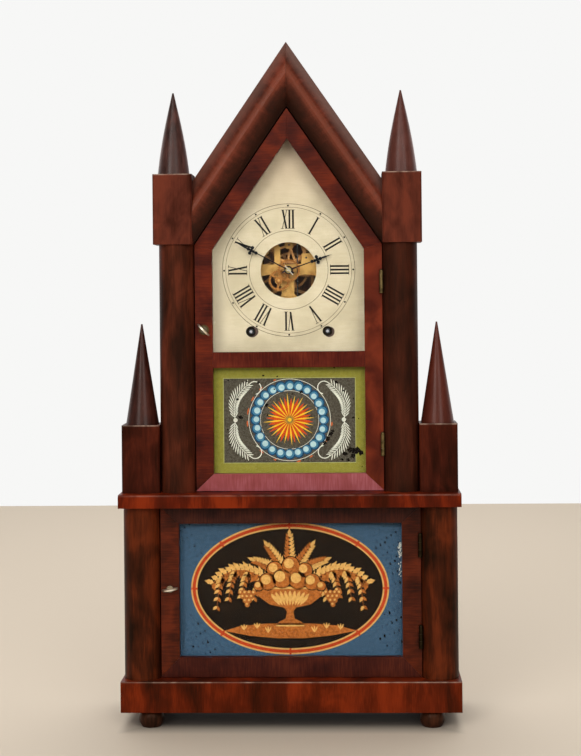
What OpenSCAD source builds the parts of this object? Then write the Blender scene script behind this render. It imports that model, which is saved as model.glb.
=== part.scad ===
// Double steeple shelf clock with a brass movement driven by a leaf spring.
// Millimetres, +Z up, front towards -Y, origin on the floor under the middle.

/* [Base] */
// Width of the plinth
plinth_w = 334; // [300:1:360]
// Depth of the plinth
plinth_d = 110; // [108:1:124]
// Height of the plinth
plinth_h = 30; // [24:1:40]
// Depth of the plinth's front rail
plinth_rail = 24; // [20:1:28]
// Thickness of the plinth's other boards
plinth_t = 12; // [10:1:16]
// Thickness of the floor board
floor_t = 12; // [8:1:16]
// Diameter of the ball feet
foot_dia = 24.4; // [20:0.2:30]
// Height of the ball feet
foot_h = 16; // [12:0.5:18]
// Distance of the feet from the ends of the plinth
foot_in = 28.7; // [16:0.1:40]

/* [Lower case] */
// Outer width of the lower case
lower_w = 330; // [320:1:332]
// Height of the lower columns
lower_h = 170; // [150:1:190]
// Width of a lower column
lower_column_w = 35.5; // [30:0.5:38]
// How far the half columns stand out from their boards
column_rise = 14; // [10:0.5:15]
// Thickness of the case boards
board_t = 8; // [6:0.5:10]
// Where the front faces of the lower posts are
lower_face_y = -36; // [-38:0.5:-34]
// Thickness of the lower posts
lower_post_t = 12.5; // [10:0.5:13]

/* [Waist board] */
// Width of the waist board
waist_w = 336; // [332:1:350]
// Depth of the waist board
waist_d = 112; // [112:1:124]
// Thickness of the waist board
waist_t = 13; // [10:0.5:16]

/* [Upper case] */
// Width between the upper posts
upper_opening = 188; // [180:1:192]
// Width of an upper column
upper_column_w = 34.4; // [30:0.2:36]
// Height of the upper columns
upper_h = 246; // [235:1:256]
// Where the front faces of the upper posts are
upper_face_y = -28; // [-30:0.5:-26]
// Thickness of the upper posts
upper_post_t = 10.5; // [8:0.5:11]
// Thickness of the back boards
back_t = 9; // [7:0.5:10]
// How far a shoulder block stands out past the lower case
shoulder_over = 1; // [0:0.1:2]
// Height of a shoulder block
shoulder_h = 67.2; // [60:0.2:75]
// Depth of the shoulder blocks and capitals
block_d = 38; // [34:0.5:40]
// Width of a capital
capital_w = 38.8; // [36:0.2:40]
// Height of a capital
capital_h = 69.6; // [60:0.2:75]

/* [Steeples and gable] */
// Width of the ledge round a lower steeple's foot
steeple_ledge = 2.3; // [1:0.1:4]
// Height of a lower steeple
lower_steeple_h = 100; // [85:1:115]
// Diameter of an upper steeple at its foot
upper_steeple_dia = 32; // [28:0.5:35]
// Height of an upper steeple
upper_steeple_h = 82; // [70:1:95]
// Rise of the gable for each millimetre across
gable_slope = 1.46; // [1.4:0.01:1.5]
// Width of a gable rail, measured across it
rail_w = 36; // [32:0.5:38]
// How far the soft ridge of a gable rail stands out
rail_rise = 12.5; // [9:0.5:13]

/* [Doors] */
// Gap between a door and the wood round it
door_gap = 0.6; // [0.5:0.1:0.8]
// Gap at the free side of a door
free_gap = 1.1; // [1:0.1:1.5]
// Gap along the sloping top of the upper door
slope_gap = 1.3; // [1.2:0.1:1.6]
// Thickness of the upper door
upper_door_t = 12; // [11:0.5:12.5]
// Thickness of the lower door
lower_door_t = 14; // [12:0.5:14]
// Width of the upper door's stiles
upper_stile_w = 17.8; // [15:0.2:20]
// Width of the upper door's bottom rail
upper_rail_w = 16.8; // [14:0.2:20]
// Width of the upper door's sloping rails
slope_rail_w = 17; // [15:0.2:19]
// Height of the middle rail's lower edge above the waist board
mid_rail_z = 123; // [115:1:128]
// Width of the middle rail
mid_rail_w = 15.6; // [12:0.2:18]
// Width of the lower door's stiles
lower_stile_w = 18.6; // [16:0.2:21]
// Width of the lower door's bottom rail
lower_bottom_w = 19.6; // [16:0.2:22]
// Width of the lower door's top rail
lower_top_w = 17; // [14:0.2:20]
// Thickness of the glass
glass_t = 2; // [1.5:0.1:2.5]
// How far the glass reaches under the frames
rebate = 4; // [3:0.5:5]
// Thickness of the frames in front of the glass
face_t = 7.8; // [6:0.2:8]

/* [Hinges and latches] */
// Heights of the upper door's hinges above the waist board
upper_hinges_up = [46, 207]; // [40:1:210]
// Distance of the lower door's hinges from its ends
lower_hinge_in = 40; // [30:1:50]
// Height of the upper latch above the waist board
upper_latch_up = 161; // [150:1:170]
// Height of the lower latch above the floor board
lower_latch_up = 88; // [70:1:100]
// How far the hinge leaves reach back from a door's face
leaf_reach = 10; // [8:0.5:11]
// Length of a hinge
hinge_l = 22; // [18:1:26]
// Outer radius of a hinge knuckle
knuckle_r = 2.2; // [2:0.1:2.3]
// Radius of a hinge pin
pin_r = 1.2; // [1:0.1:1.3]
// Thickness of a hinge leaf
leaf_t = 0.8; // [0.6:0.1:1]
// Radius of a thumb turn
turn_r = 8; // [6:0.5:9]
// Thickness of a thumb turn
turn_t = 1.5; // [1:0.1:2]
// Radius of a latch spindle
spindle_r = 2; // [1.5:0.1:2.5]
// Length of a latch tongue
tongue_l = 13; // [12:0.5:14]

/* [Dial and hands] */
// Height of the dial's centre above the waist board
dial_up = 220; // [215:1:225]
// Half width of the dial plate
dial_half = 84; // [80:1:88]
// How far the dial plate reaches below its centre
dial_below = 93; // [88:1:96]
// Height of the dial plate's point over its centre
dial_above = 148; // [140:1:150]
// Height of a dial block
dial_block_h = 14; // [10:1:18]
// Depth of a dial block
dial_block_d = 12; // [8:1:14]
// Heights of the dial blocks over the dial plate's lower edge
dial_blocks_up = [8, 94]; // [2:1:100]
// Thickness of the dial plate
dial_t = 1.5; // [1:0.1:2]
// Radius of the open centre
dial_hole_r = 28.1; // [24:0.1:30]
// Radius of the winding holes
winding_hole_r = 5; // [4.5:0.1:6.5]
// Length of the minute hand
minute_l = 61.5; // [56:0.5:64]
// Length of the hour hand
hour_l = 46.6; // [40:0.5:50]
// Angle of the minute hand, clockwise from twelve
minute_angle = 298.3; // [0:0.1:360]
// Angle of the hour hand, clockwise from twelve
hour_angle = 70.5; // [0:0.1:360]

/* [Movement] */
// Half the distance between the winding arbors
winding_x = 38.6; // [38.4:0.1:38.8]
// Distance of the winding arbors below the dial's centre
winding_down = 61.6; // [61.2:0.1:61.8]
// Thickness of the brass plates
plate_t = 2; // [1.5:0.1:2.5]
// Distance between the brass plates
plate_space = 31; // [31:0.5:32]
// Thickness of the wheels
wheel_t = 1.6; // [1.2:0.1:1.8]
// Radius of the arbors between the plates
arbor_r = 1.1; // [1:0.05:1.2]
// Radius of the thin arbors of the fast wheels
thin_arbor_r = 0.95; // [0.9:0.05:1]
// Radius of the pivots in the plates
pivot_r = 0.8; // [0.7:0.05:0.9]
// Running clearance round a pivot
run = 0.15; // [0.12:0.01:0.2]
// Module of the great and second wheels of the going train
great_m = 0.82; // [0.82:0.01:0.83]
// Teeth of a great wheel
great_n = 84; // [84:1:84]
// Teeth of the going train's second wheel
second_n = 72; // [72:1:72]
// Module of the centre wheel
centre_m = 0.6; // [0.6:0.01:0.6]
// Teeth of the centre wheel
centre_n = 64; // [64:1:64]
// Module of the third wheel
third_m = 0.56; // [0.56:0.01:0.56]
// Teeth of the third wheel
third_n = 70; // [70:1:70]
// Tip radius of the escape wheel
escape_r = 20.4; // [19:0.1:20.5]
// Teeth of the escape wheel
escape_n = 60; // [56:1:64]
// Height of the escape arbor over the centre arbor
escape_up = 26; // [26:0.1:26]
// Radius of a winding drum
drum_r = 7; // [6:0.1:7.5]
// Radius of the drive cords
cord_r = 0.8; // [0.6:0.1:1]
// Distance of the pendulum's pivot right of the middle
pendulum_x = 8.5; // [8:0.1:9]
// Height of the pendulum's pivot over the centre arbor
pendulum_up = 50; // [49:0.5:52]
// Length of the pendulum to the middle of its bob
pendulum_l = 183; // [175:1:188]
// Radius of the pendulum bob
bob_r = 15; // [12:0.5:18]

/* [Gong and leaf spring] */
// Outer radius of the gong's spiral
gong_r = 37.5; // [32:0.5:40]
// Turns of the gong's spiral
gong_turns = 4.5; // [3:0.5:5]
// Radius of the gong wire
gong_wire_r = 1.2; // [1:0.1:1.4]
// Leaves in the spring
leaf_n = 7; // [5:1:8]
// Thickness of a spring leaf
spring_leaf_t = 1.6; // [1.2:0.1:1.8]
// Width of the spring leaves
spring_w = 30; // [24:1:34]
// How far the ends of the spring stand over its middle
spring_rise = 12; // [9:0.5:14]
// Radius of the quadrant levers
quadrant_r = 45; // [40:0.5:46]
// Length of the levers' short arms
short_arm = 14.5; // [12:0.5:16]
// Height of the levers' pins over the floor board
lever_up = 84; // [78:1:90]

/* [Hidden] */
$fn = 48;
plinth_z = foot_h;
floor_z = foot_h + plinth_h;
waist_z = floor_z + lower_h;
upper_z = waist_z + waist_t;
capital_z = upper_z + upper_h;
post_x = upper_opening / 2;
upper_half = post_x + upper_column_w;
lower_half = lower_w / 2;
lower_post_x = lower_half - lower_column_w;
shoulder_w = lower_half + shoulder_over - upper_half;
lower_steeple_dia = shoulder_w - 2 * steeple_ledge;
back_y = waist_d / 2 - back_t;
shoulder_y = -40;
capital_y = -44;
door_y = upper_face_y - 1;
lower_door_y = lower_face_y - 1;
hinge_ahead = 2.7;
pin_run = 0.1;
kerf = 0.1;
fit_gap = 0.1;

cos_slope = 1 / sqrt(1 + gable_slope * gable_slope);
slope_deg = atan(gable_slope);
door_half = post_x - door_gap;
door_apex = capital_z - 1.4 + gable_slope * door_half;
inner_apex = door_apex + slope_gap / cos_slope;
outer_apex = inner_apex + rail_w / cos_slope;
roof_apex = outer_apex - board_t / cos_slope;

free_half = post_x - free_gap;
upper_low = upper_z + door_gap;
upper_open = door_half - upper_stile_w;
open_apex = door_apex - slope_rail_w / cos_slope;
dial_open_z = upper_z + mid_rail_z + mid_rail_w;
tablet_top = upper_z + mid_rail_z;
tablet_low = upper_low + upper_rail_w;
lower_low = floor_z + door_gap;
lower_top = waist_z - door_gap;
lower_right = lower_post_x - door_gap;
lower_left = lower_post_x - free_gap;
lower_open = lower_right - lower_stile_w;
upper_hinges = [for (up = upper_hinges_up) upper_z + up];
lower_hinges = [floor_z + lower_hinge_in, waist_z - lower_hinge_in];
upper_turn = [-upper_open - 8.6, upper_z + upper_latch_up];
lower_turn = [-lower_open - 9, floor_z + lower_latch_up];

dial_z = upper_z + dial_up;
dial_y = -9;
dial_back = dial_y + dial_t;
hand_y = dial_y - 5;
hour_hand_y = dial_y - 3.4;
cannon_r = 2;
pipe_r = 3;
dial_low = dial_z - dial_below;
dial_apex = dial_z + dial_above;
front_plate_y = 8;
between_y = front_plate_y + plate_t;
back_plate_y = between_y + plate_space;
plates_end = back_plate_y + plate_t;
pendulum_y = 4.6;
crutch_y = 6.4;
drum_y = 18;
drum_l = 16;
cord_y = drum_y + drum_l / 2;

// Where the arbors stand, right and up from the dial's centre.
function meet(a, b, ra, rb, side) = let (d = norm(b - a), u = (b - a) / d,
    t = (ra * ra - rb * rb + d * d) / (2 * d), h = sqrt(max(0, ra * ra - t * t)))
    a + t * u + side * h * [-u[1], u[0]];
function polar(r, a) = r * [cos(a), sin(a)];
function heading(a, b) = atan2(b[1] - a[1], b[0] - a[0]);

pinion_n = 12;
small_n = 8;
strike_m = 0.7;
strike_third_m = 0.6;
strike_second_n = 72;
strike_third_n = 56;
centre = [0, 0];
great = [winding_x, -winding_down];
strike_great = [-winding_x, -winding_down];
second = meet(great, centre, (great_n + pinion_n) * great_m / 2,
    (second_n + pinion_n) * great_m / 2, -1);
escape = [0, escape_up];
third = meet(centre, escape, (centre_n + small_n) * centre_m / 2,
    (third_n + small_n) * third_m / 2, -1);
strike_second = strike_great + polar((great_n + pinion_n) * great_m / 2, 70);
strike_third = strike_second + polar((strike_second_n + small_n) * strike_m / 2, 106);
fly = strike_third + polar((strike_third_n + small_n) * strike_third_m / 2, 69);
verge = [pendulum_x, pendulum_up];
hammer_at = [-54, -21];
minute_stud = polar(14.4, 225);
arbors = [second, third, escape, verge, strike_second, strike_third, fly, hammer_at];
pillars = [[0, -86], [66, -20], [40, 50], [-40, 50], [-66, -20]];

great_y = 13.2;
low_pinion_y = 12;
second_y = 36;
centre_wheel_y = 26.2;
third_y = 18.2;
escape_y = 12;
strike_second_y = 30.2;
strike_third_y = 22.2;

winding_r = 2.4;
cord_x = winding_x + drum_r + cord_r + 0.3;
lever_x = cord_x + cord_r + 0.3 + quadrant_r;
lever_z = floor_z + lever_up;
lever_t = 5;
link_x = lever_x - short_arm;
spring_half = link_x - 2.3;
spring_r = (spring_half * spring_half + spring_rise * spring_rise) / (2 * spring_rise);
leaf_gap = 0.15;
leaf_pitch = spring_leaf_t + leaf_gap;
seat_t = 6;
spring_z = floor_z + seat_t + leaf_n * leaf_pitch;
gong_at = [-5, upper_z + 61];
gong_y = 34;
gong_core = 6;
gong_rings = round(gong_turns * 24);
gong_sides = 6;
gong_pitch = (gong_r - gong_core + 1) / gong_turns;

column_color = "#3c1c14";
case_color = "#5c1f0e";
door_color = "#6e1f10";
brass_color = "#b8862f";
steel_color = "#70757a";
iron_color = "#33302e";

// Shapes used by many pieces.
module board(x0, x1, y0, y1, z0, z1) {
    translate([x0, y0, z0]) cube([x1 - x0, y1 - y0, z1 - z0]);
}

module slab(points, y0, y1) {
    translate([0, y1, 0]) rotate([90, 0, 0]) linear_extrude(y1 - y0) polygon(points);
}

module rod(at, r, y0, y1, sides = 48) {
    translate([at[0], y1, at[1]]) rotate([90, 0, 0]) cylinder(r = r, h = y1 - y0, $fn = sides);
}

module both_sides() {
    children();
    mirror([1, 0, 0]) children();
}

module bar(a, b, w, y0, y1) {
    translate([a[0], 0, a[1]]) rotate([0, -heading(a, b), 0])
        translate([0, y0, -w / 2]) cube([norm(b - a), y1 - y0, w]);
}

// Half round veneered column, its back flat at y and its foot at z.
module half_column(x, w, y, z, h) {
    r = (w * w / 4 + column_rise * column_rise) / (2 * column_rise);
    intersection() {
        translate([x + w / 2, y + r - column_rise, z]) cylinder(r = r, h = h, $fn = 96);
        board(x, x + w, y - column_rise - 1, y, z, z + h);
    }
}

// Pentagon with a gable top, grown by e on every side.
function gable(left, right, low, apex, e = 0) = let (top = apex + e / cos_slope) [
    [-left - e, low - e], [right + e, low - e], [right + e, top - gable_slope * (right + e)],
    [0, top], [-left - e, top - gable_slope * (left + e)]];

// Base.
module ball_feet() {
    color(column_color) both_sides() for (y = [-plinth_d / 2 + 14, plinth_d / 2 - 14])
        translate([plinth_w / 2 - foot_in, y, 0]) intersection() {
            translate([0, 0, foot_h / 2]) sphere(d = foot_dia, $fn = 64);
            cylinder(d = foot_dia + 1, h = foot_h, $fn = 64);
        }
}

module plinth() {
    half = plinth_w / 2;
    front = -plinth_d / 2;
    color(case_color) {
        board(-half, half, front, front + plinth_rail, plinth_z, floor_z);
        board(-half, half, -front - plinth_t, -front, plinth_z, floor_z);
        both_sides() board(half - plinth_t, half, front + plinth_rail + kerf,
            -front - plinth_t - kerf, plinth_z, floor_z);
    }
}

module floor_board() {
    color("#6a4a2c") difference() {
        board(-plinth_w / 2 + plinth_t + kerf, plinth_w / 2 - plinth_t - kerf,
            -plinth_d / 2 + plinth_rail + kerf, plinth_d / 2 - plinth_t - kerf,
            floor_z - floor_t, floor_z);
        translate([0, cord_y, floor_z - floor_t - 1]) cylinder(r = 4.3, h = floor_t + 2);
    }
}

// Lower case.
// Recess for a hinge leaf whose plate lies from x to x + leaf_t, behind a face at y.
module hinge_mortise(x, y, z) {
    board(x - 0.05, x + leaf_t + 0.05, y - hinge_ahead, y + leaf_reach + 0.2,
        z - hinge_l / 2 - 0.1, z + hinge_l / 2 + 0.1);
}

module front_posts() {
    color(column_color) {
        difference() {
            both_sides() board(lower_post_x, lower_half, lower_face_y,
                lower_face_y + lower_post_t, floor_z, waist_z);
            for (z = lower_hinges) hinge_mortise(lower_post_x, lower_door_y, z);
        }
        difference() {
            both_sides() board(post_x, upper_half, upper_face_y,
                upper_face_y + upper_post_t, upper_z, capital_z);
            for (z = upper_hinges) hinge_mortise(post_x, door_y, z);
        }
    }
}

module lower_columns() {
    color(column_color) difference() {
        both_sides() half_column(lower_post_x, lower_column_w, lower_face_y, floor_z, lower_h);
        for (z = lower_hinges) hinge_mortise(lower_post_x, lower_door_y, z);
    }
}

module waist_board() {
    edge = 3;
    color(case_color) difference() {
        board(-waist_w / 2, waist_w / 2, -waist_d / 2, waist_d / 2, waist_z, upper_z);
        translate([0, -waist_d / 2, upper_z]) rotate([45, 0, 0])
            cube([waist_w + 2, edge, edge], center = true);
        both_sides() translate([cord_x, cord_y, waist_z - 1]) cylinder(r = 4, h = waist_t + 2);
    }
}

module side_boards() {
    x0 = upper_half - board_t;
    capital_back = capital_y + block_d;
    color(case_color) both_sides() {
        board(lower_half - board_t, lower_half, lower_face_y + lower_post_t, back_y, floor_z,
            waist_z);
        difference() {
            slab([[x0, upper_z], [upper_half, upper_z],
                [upper_half, roof_apex - gable_slope * upper_half],
                [x0, roof_apex - gable_slope * x0]],
                upper_face_y + upper_post_t, back_y);
            board(x0 - 1, upper_half + 1, -60, capital_back, capital_z, capital_z + 60);
        }
    }
}

module backboards() {
    color("#6a4a2c") {
        board(-lower_half, lower_half, back_y, back_y + back_t, floor_z, waist_z);
        slab([[-upper_half, upper_z], [upper_half, upper_z],
            [upper_half, roof_apex - gable_slope * upper_half], [0, roof_apex],
            [-upper_half, roof_apex - gable_slope * upper_half]], back_y, back_y + back_t);
    }
}

module roof_boards() {
    rail_back = upper_face_y + 8;
    color(case_color) both_sides() difference() {
        slab([[kerf, roof_apex - gable_slope * kerf], [kerf, outer_apex - gable_slope * kerf],
            [upper_half, outer_apex - gable_slope * upper_half],
            [upper_half, roof_apex - gable_slope * upper_half]], rail_back, back_y + back_t);
        board(post_x, upper_half + 1, -60, capital_y + block_d, 0, 900);
    }
}

module upper_columns() {
    color(column_color) difference() {
        both_sides() half_column(post_x, upper_column_w, upper_face_y, upper_z, upper_h);
        for (z = upper_hinges) hinge_mortise(post_x, door_y, z);
    }
}

module block(x, w, y, z, h, edge) {
    difference() {
        board(x, x + w, y, y + block_d, z, z + h);
        for (s = [0, w]) translate([x + s, y, z + h / 2]) rotate([0, 0, 45])
            cube([edge, edge, h + 2], center = true);
    }
}

module shoulder_blocks() {
    color(door_color) both_sides()
        block(upper_half, shoulder_w, shoulder_y, upper_z, shoulder_h, 1.6);
}

module capitals() {
    color(door_color) both_sides() block(post_x, capital_w, capital_y, capital_z, capital_h, 2.4);
}

module lower_steeples() {
    color(column_color) both_sides()
        translate([upper_half + shoulder_w / 2, shoulder_y + block_d / 2, upper_z + shoulder_h])
            cylinder(d1 = lower_steeple_dia, d2 = 1.6, h = lower_steeple_h, $fn = 72);
}

// Upper steeple with a slightly swollen side.
module upper_steeples() {
    swell = 1.8;
    steps = 10;
    color(column_color) both_sides()
        translate([post_x + capital_w / 2, capital_y + block_d / 2, capital_z + capital_h])
            rotate_extrude($fn = 72) polygon(concat([[0, 0]], [for (i = [0 : steps])
                let (t = i / steps) [(upper_steeple_dia / 2 - 0.8) * (1 - t) + 0.8
                    + swell * sin(180 * t) * (1 - t * 0.4), upper_steeple_h * t]],
                [[0, upper_steeple_h]]));
}

// Gable rail: a soft ridge along the slope, mitred at the apex, butting on the capital.
module gable_rail() {
    rail_back = upper_face_y + 8;
    steps = 14;
    color(door_color) intersection() {
        translate([0, 0, inner_apex]) rotate([0, slope_deg, 0]) translate([-120, 0, 0])
            rotate([90, 0, 90]) linear_extrude(400) polygon(concat([[rail_back, 0]],
                [for (i = [0 : steps]) [upper_face_y - 0.5 - rail_rise * sin(180 * i / steps),
                    rail_w * i / steps]], [[rail_back, rail_w]]));
        board(kerf / 2, post_x, -80, 40, 0, 900);
    }
}

module gable_rail_right() { gable_rail(); }
module gable_rail_left() { mirror([1, 0, 0]) gable_rail(); }

// Doors: mitred frames with a rebate behind for the glass, hinged at the right.
function box(x, low, high, e = 0) = [[-x - e, low - e], [x + e, low - e], [x + e, high + e],
    [-x - e, high + e]];

module mitre(a, b, y0, y1) {
    u = (b - a) / norm(b - a);
    bar(a - 6 * u, b + 6 * u, kerf, y0 - 1, y1 + 1);
}

module upper_door_frame() {
    back = door_y + upper_door_t;
    seat = door_y + face_t;
    corner = [door_half, door_apex - gable_slope * door_half];
    shoulder = [upper_open, open_apex - gable_slope * upper_open];
    color(door_color) difference() {
        slab(gable(free_half, door_half, upper_low, door_apex), door_y, back);
        slab(gable(upper_open, upper_open, dial_open_z, open_apex), door_y - 1, back + 1);
        slab(gable(upper_open, upper_open, dial_open_z, open_apex, rebate), seat, back + 1);
        slab(box(upper_open, tablet_low, tablet_top), door_y - 1, back + 1);
        slab(box(upper_open, tablet_low, tablet_top, rebate), seat, back + 1);
        for (s = [1, -1]) {
            mitre([s * upper_open, tablet_low], [s * door_half, upper_low], door_y, back);
            mitre([s * shoulder[0], shoulder[1]], [s * corner[0], corner[1]], door_y, back);
            board(s * upper_open - kerf / 2, s * upper_open + kerf / 2, door_y - 1, back + 1,
                tablet_top - 1, dial_open_z + 1);
            board(s * (upper_open + rebate) - kerf / 2, s * (upper_open + rebate) + kerf / 2,
                seat, back + 1, tablet_top, dial_open_z);
        }
        board(-kerf / 2, kerf / 2, door_y - 1, back + 1, open_apex - 2, door_apex + 2);
        rod(upper_turn, spindle_r + pin_run, door_y - 1, back + 1);
        for (z = upper_hinges) hinge_mortise(door_half - leaf_t, door_y, z);
    }
}

module lower_door_frame() {
    back = lower_door_y + lower_door_t;
    seat = lower_door_y + face_t;
    open_low = lower_low + lower_bottom_w;
    open_top = lower_top - lower_top_w;
    color(door_color) difference() {
        board(-lower_left, lower_right, lower_door_y, back, lower_low, lower_top);
        slab(box(lower_open, open_low, open_top), lower_door_y - 1, back + 1);
        slab(box(lower_open, open_low, open_top, rebate), seat, back + 1);
        for (s = [1, -1]) {
            mitre([s * lower_open, open_low], [s * lower_right, lower_low], lower_door_y, back);
            mitre([s * lower_open, open_top], [s * lower_right, lower_top], lower_door_y, back);
        }
        rod(lower_turn, spindle_r + pin_run, lower_door_y - 1, back + 1);
        for (z = lower_hinges) hinge_mortise(lower_right - leaf_t, lower_door_y, z);
    }
}

module dial_glass() {
    y = door_y + face_t + fit_gap;
    color("#cfe0dc", 0.35) slab(gable(upper_open, upper_open, dial_open_z, open_apex,
        rebate - fit_gap), y, y + glass_t);
}

module upper_tablet() {
    y = door_y + face_t + fit_gap;
    color("#8f9038") slab(box(upper_open, tablet_low, tablet_top, rebate - fit_gap), y, y + glass_t);
}

module lower_tablet() {
    y = lower_door_y + face_t + fit_gap;
    color("#3f6a8c") slab(box(lower_open, lower_low + lower_bottom_w, lower_top - lower_top_w,
        rebate - fit_gap), y, y + glass_t);
}

// Butt hinges: x is the post's edge, y the door's face.
module knuckle(x, y, z0, z1) {
    translate([x, y, z0]) cylinder(r = knuckle_r, h = z1 - z0);
}

module fixed_leaf(x, y, z) {
    ax = x - door_gap - 0.8;
    ay = y - hinge_ahead;
    third_l = hinge_l / 3;
    board(x, x + leaf_t, ay + knuckle_r + 0.2, y + leaf_reach, z - hinge_l / 2, z + hinge_l / 2);
    for (s = [-1, 1]) {
        z0 = z + s * third_l - third_l / 2;
        knuckle(ax, ay, z0 + kerf, z0 + third_l - kerf);
        board(x, x + leaf_t, ay + 0.6, ay + knuckle_r + 0.3, z0 + kerf, z0 + third_l - kerf);
    }
    translate([ax, ay, z - hinge_l / 2 + 1]) cylinder(r = pin_r, h = hinge_l - 2);
    translate([ax, ay, z + hinge_l / 2 - 0.2]) sphere(r = knuckle_r - 0.2);
}

module door_leaf(x, y, z) {
    edge = x - door_gap;
    ax = edge - 0.8;
    ay = y - hinge_ahead;
    third_l = hinge_l / 3;
    board(edge - leaf_t, edge, ay + knuckle_r + 0.2, y + leaf_reach, z - hinge_l / 2,
        z + hinge_l / 2);
    difference() {
        union() {
            knuckle(ax, ay, z - third_l / 2 + kerf, z + third_l / 2 - kerf);
            board(edge - leaf_t, edge, ay + 1.7, ay + knuckle_r + 0.3, z - third_l / 2 + kerf,
                z + third_l / 2 - kerf);
        }
        translate([ax, ay, z - hinge_l]) cylinder(r = pin_r + pin_run, h = 2 * hinge_l);
    }
}

module hinge_fixed_leaves() {
    color(brass_color) {
        for (z = upper_hinges) fixed_leaf(post_x, door_y, z);
        for (z = lower_hinges) fixed_leaf(lower_post_x, lower_door_y, z);
    }
}
module upper_hinge_door_leaves() {
    color(brass_color) for (z = upper_hinges) door_leaf(post_x, door_y, z);
}
module lower_hinge_door_leaves() {
    color(brass_color) for (z = lower_hinges) door_leaf(lower_post_x, lower_door_y, z);
}

// Turning latches: a thumb disc on a spindle, with a tongue behind the door.

module latch(at, y, t, disc_angle, tongue_angle) {
    translate([at[0], 0, at[1]]) {
        rod([0, 0], spindle_r, y - 1.4, y + t + 2.4);
        rod([0, 0], 3.4, y - 2.2, y - 1.3);
        rotate([0, -disc_angle, 0]) intersection() {
            translate([0, y - 3, -turn_t / 2]) cylinder(r = turn_r, h = turn_t);
            board(-turn_r, turn_r, y - turn_r - 4, y - 1.8, -turn_t, turn_t);
        }
        rotate([0, -tongue_angle, 0]) board(-2.5, tongue_l, y + t + 0.4, y + t + 2.4, -2.5, 2.5);
    }
}

module upper_latch() { color(steel_color) latch(upper_turn, door_y, upper_door_t, 134, 45); }
module lower_latch() {
    color(steel_color) latch(lower_turn, lower_door_y, lower_door_t, 8, 270);
}

module latch_escutcheon() {
    color(brass_color) difference() {
        rod(upper_turn, 5, door_y - 1, door_y);
        rod(upper_turn, spindle_r + 0.3, door_y - 2, door_y + 1);
    }
}

// Dial.
module dial_plate() {
    color("#d9c9a2") difference() {
        slab(gable(dial_half, dial_half, dial_low, dial_apex), dial_y, dial_back);
        rod([0, dial_z], dial_hole_r, dial_y - 1, dial_back + 1, 96);
        for (s = [1, -1]) rod([s * winding_x, dial_z - winding_down], winding_hole_r,
            dial_y - 1, dial_back + 1);
    }
}

module dial_blocks() {
    color("#6a4a2c") both_sides() for (up = dial_blocks_up)
        board(dial_half - 6, upper_half - board_t, dial_back, dial_back + dial_block_d,
            dial_low + up, dial_low + up + dial_block_h);
}

// Hand with a cross of four lobes on its shaft, lying along +Z before it is turned.
module hand(length, cross_at, y, hub, bore, tail) {
    t = 0.8;
    difference() {
        union() {
            slab([[-1.5, -tail], [1.5, -tail], [0.35, length], [-0.35, length]], y, y + t);
            slab([[-2.3, cross_at - 5], [2.3, cross_at - 5], [0.6, cross_at + 8],
                [-0.6, cross_at + 8]], y, y + t);
            for (p = [[3.2, 0], [-3.2, 0], [0, 3.6]]) rod([p[0], cross_at + p[1]], 2, y, y + t, 32);
            rod([0, cross_at - 5.6], 1.9, y, y + t, 32);
            rod([0, 0], hub, y, y + t);
        }
        if (bore > 0) rod([0, 0], bore, y - 1, y + t + 1);
    }
}

module minute_hand() {
    color("#15171c") translate([0, 0, dial_z]) {
        rotate([0, minute_angle, 0]) hand(minute_l, minute_l * 0.69, hand_y, 3.2, 0, 7);
        rod([0, 0], 1.9, hand_y - 1, hand_y + 0.1);
    }
}

module hour_hand() {
    color("#15171c") translate([0, 0, dial_z]) rotate([0, hour_angle, 0])
        hand(hour_l, hour_l * 0.66, hour_hand_y, 4.2, cannon_r + run, 5);
}

// Wheels with pointed teeth and lantern pinions.
function tooth_points(n, m, phase) = let (pitch = 360 / n, r = n * m / 2, a = 180 * m / r) [
    for (i = [0 : n - 1]) for (q = [[-1, -0.26], [0, -0.2], [0.75, 0], [0, 0.2], [-1, 0.26]])
        polar(r + q[0] * m, phase + i * pitch + q[1] * a)];

// What is cut from a wheel blank to leave its spokes: a ring, less the spokes.
module windows(hub, rim, y, spokes, w) {
    difference() {
        rod([0, 0], rim, y - 1, y + 3, 96);
        rod([0, 0], hub, y - 2, y + 4);
        for (i = [0 : spokes - 1]) bar(polar(hub - 1, 360 * i / spokes + 20),
            polar(rim + 1, 360 * i / spokes + 20), w, y - 2, y + 4);
    }
}

module wheel(n, m, y, phase, spokes, bore) {
    r = n * m / 2;
    difference() {
        slab(tooth_points(n, m, phase), y, y + wheel_t);
        windows(bore + 2.2, r - m - 1.8, y, spokes, r > 15 ? 3 : 2.2);
        rod([0, 0], bore, y - 1, y + wheel_t + 1);
    }
}

module lantern(n, m, y0, y1, phase, bore = 0) {
    shroud = 0.8;
    r = n * m / 2;
    pin = 0.19 * PI * m;
    for (y = [y0, y1 - shroud]) difference() {
        rod([0, 0], r + pin + 0.3, y, y + shroud);
        if (bore > 0) rod([0, 0], bore, y - 1, y + shroud + 1);
    }
    for (i = [0 : n - 1])
        rod(polar(r, phase + (i + 0.5) * 360 / n), pin, y0 + 0.1, y1 - 0.1, 8);
}

module arbor(r = arbor_r) {
    rod([0, 0], r, between_y + 0.3, back_plate_y - 0.3);
    rod([0, 0], pivot_r, front_plate_y - 0.4, plates_end + 0.4);
}

module at_dial(p) { translate([p[0], 0, dial_z + p[1]]) children(); }

// Going train.
module time_great_wheel() {
    color(brass_color) at_dial(great)
        wheel(great_n, great_m, great_y, heading(great, second), 5, winding_r + run);
}

module winding_drum() {
    rod([0, 0], drum_r, drum_y, drum_y + drum_l);
    for (y = [drum_y - 1.2, drum_y + drum_l]) rod([0, 0], drum_r + 2.6, y, y + 1.2);
    rod([0, 0], winding_r, front_plate_y - 0.5, plates_end + 0.4);
    board(-2.1, 2.1, dial_back + 2, front_plate_y - 0.4, -2.1, 2.1);
}

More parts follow.
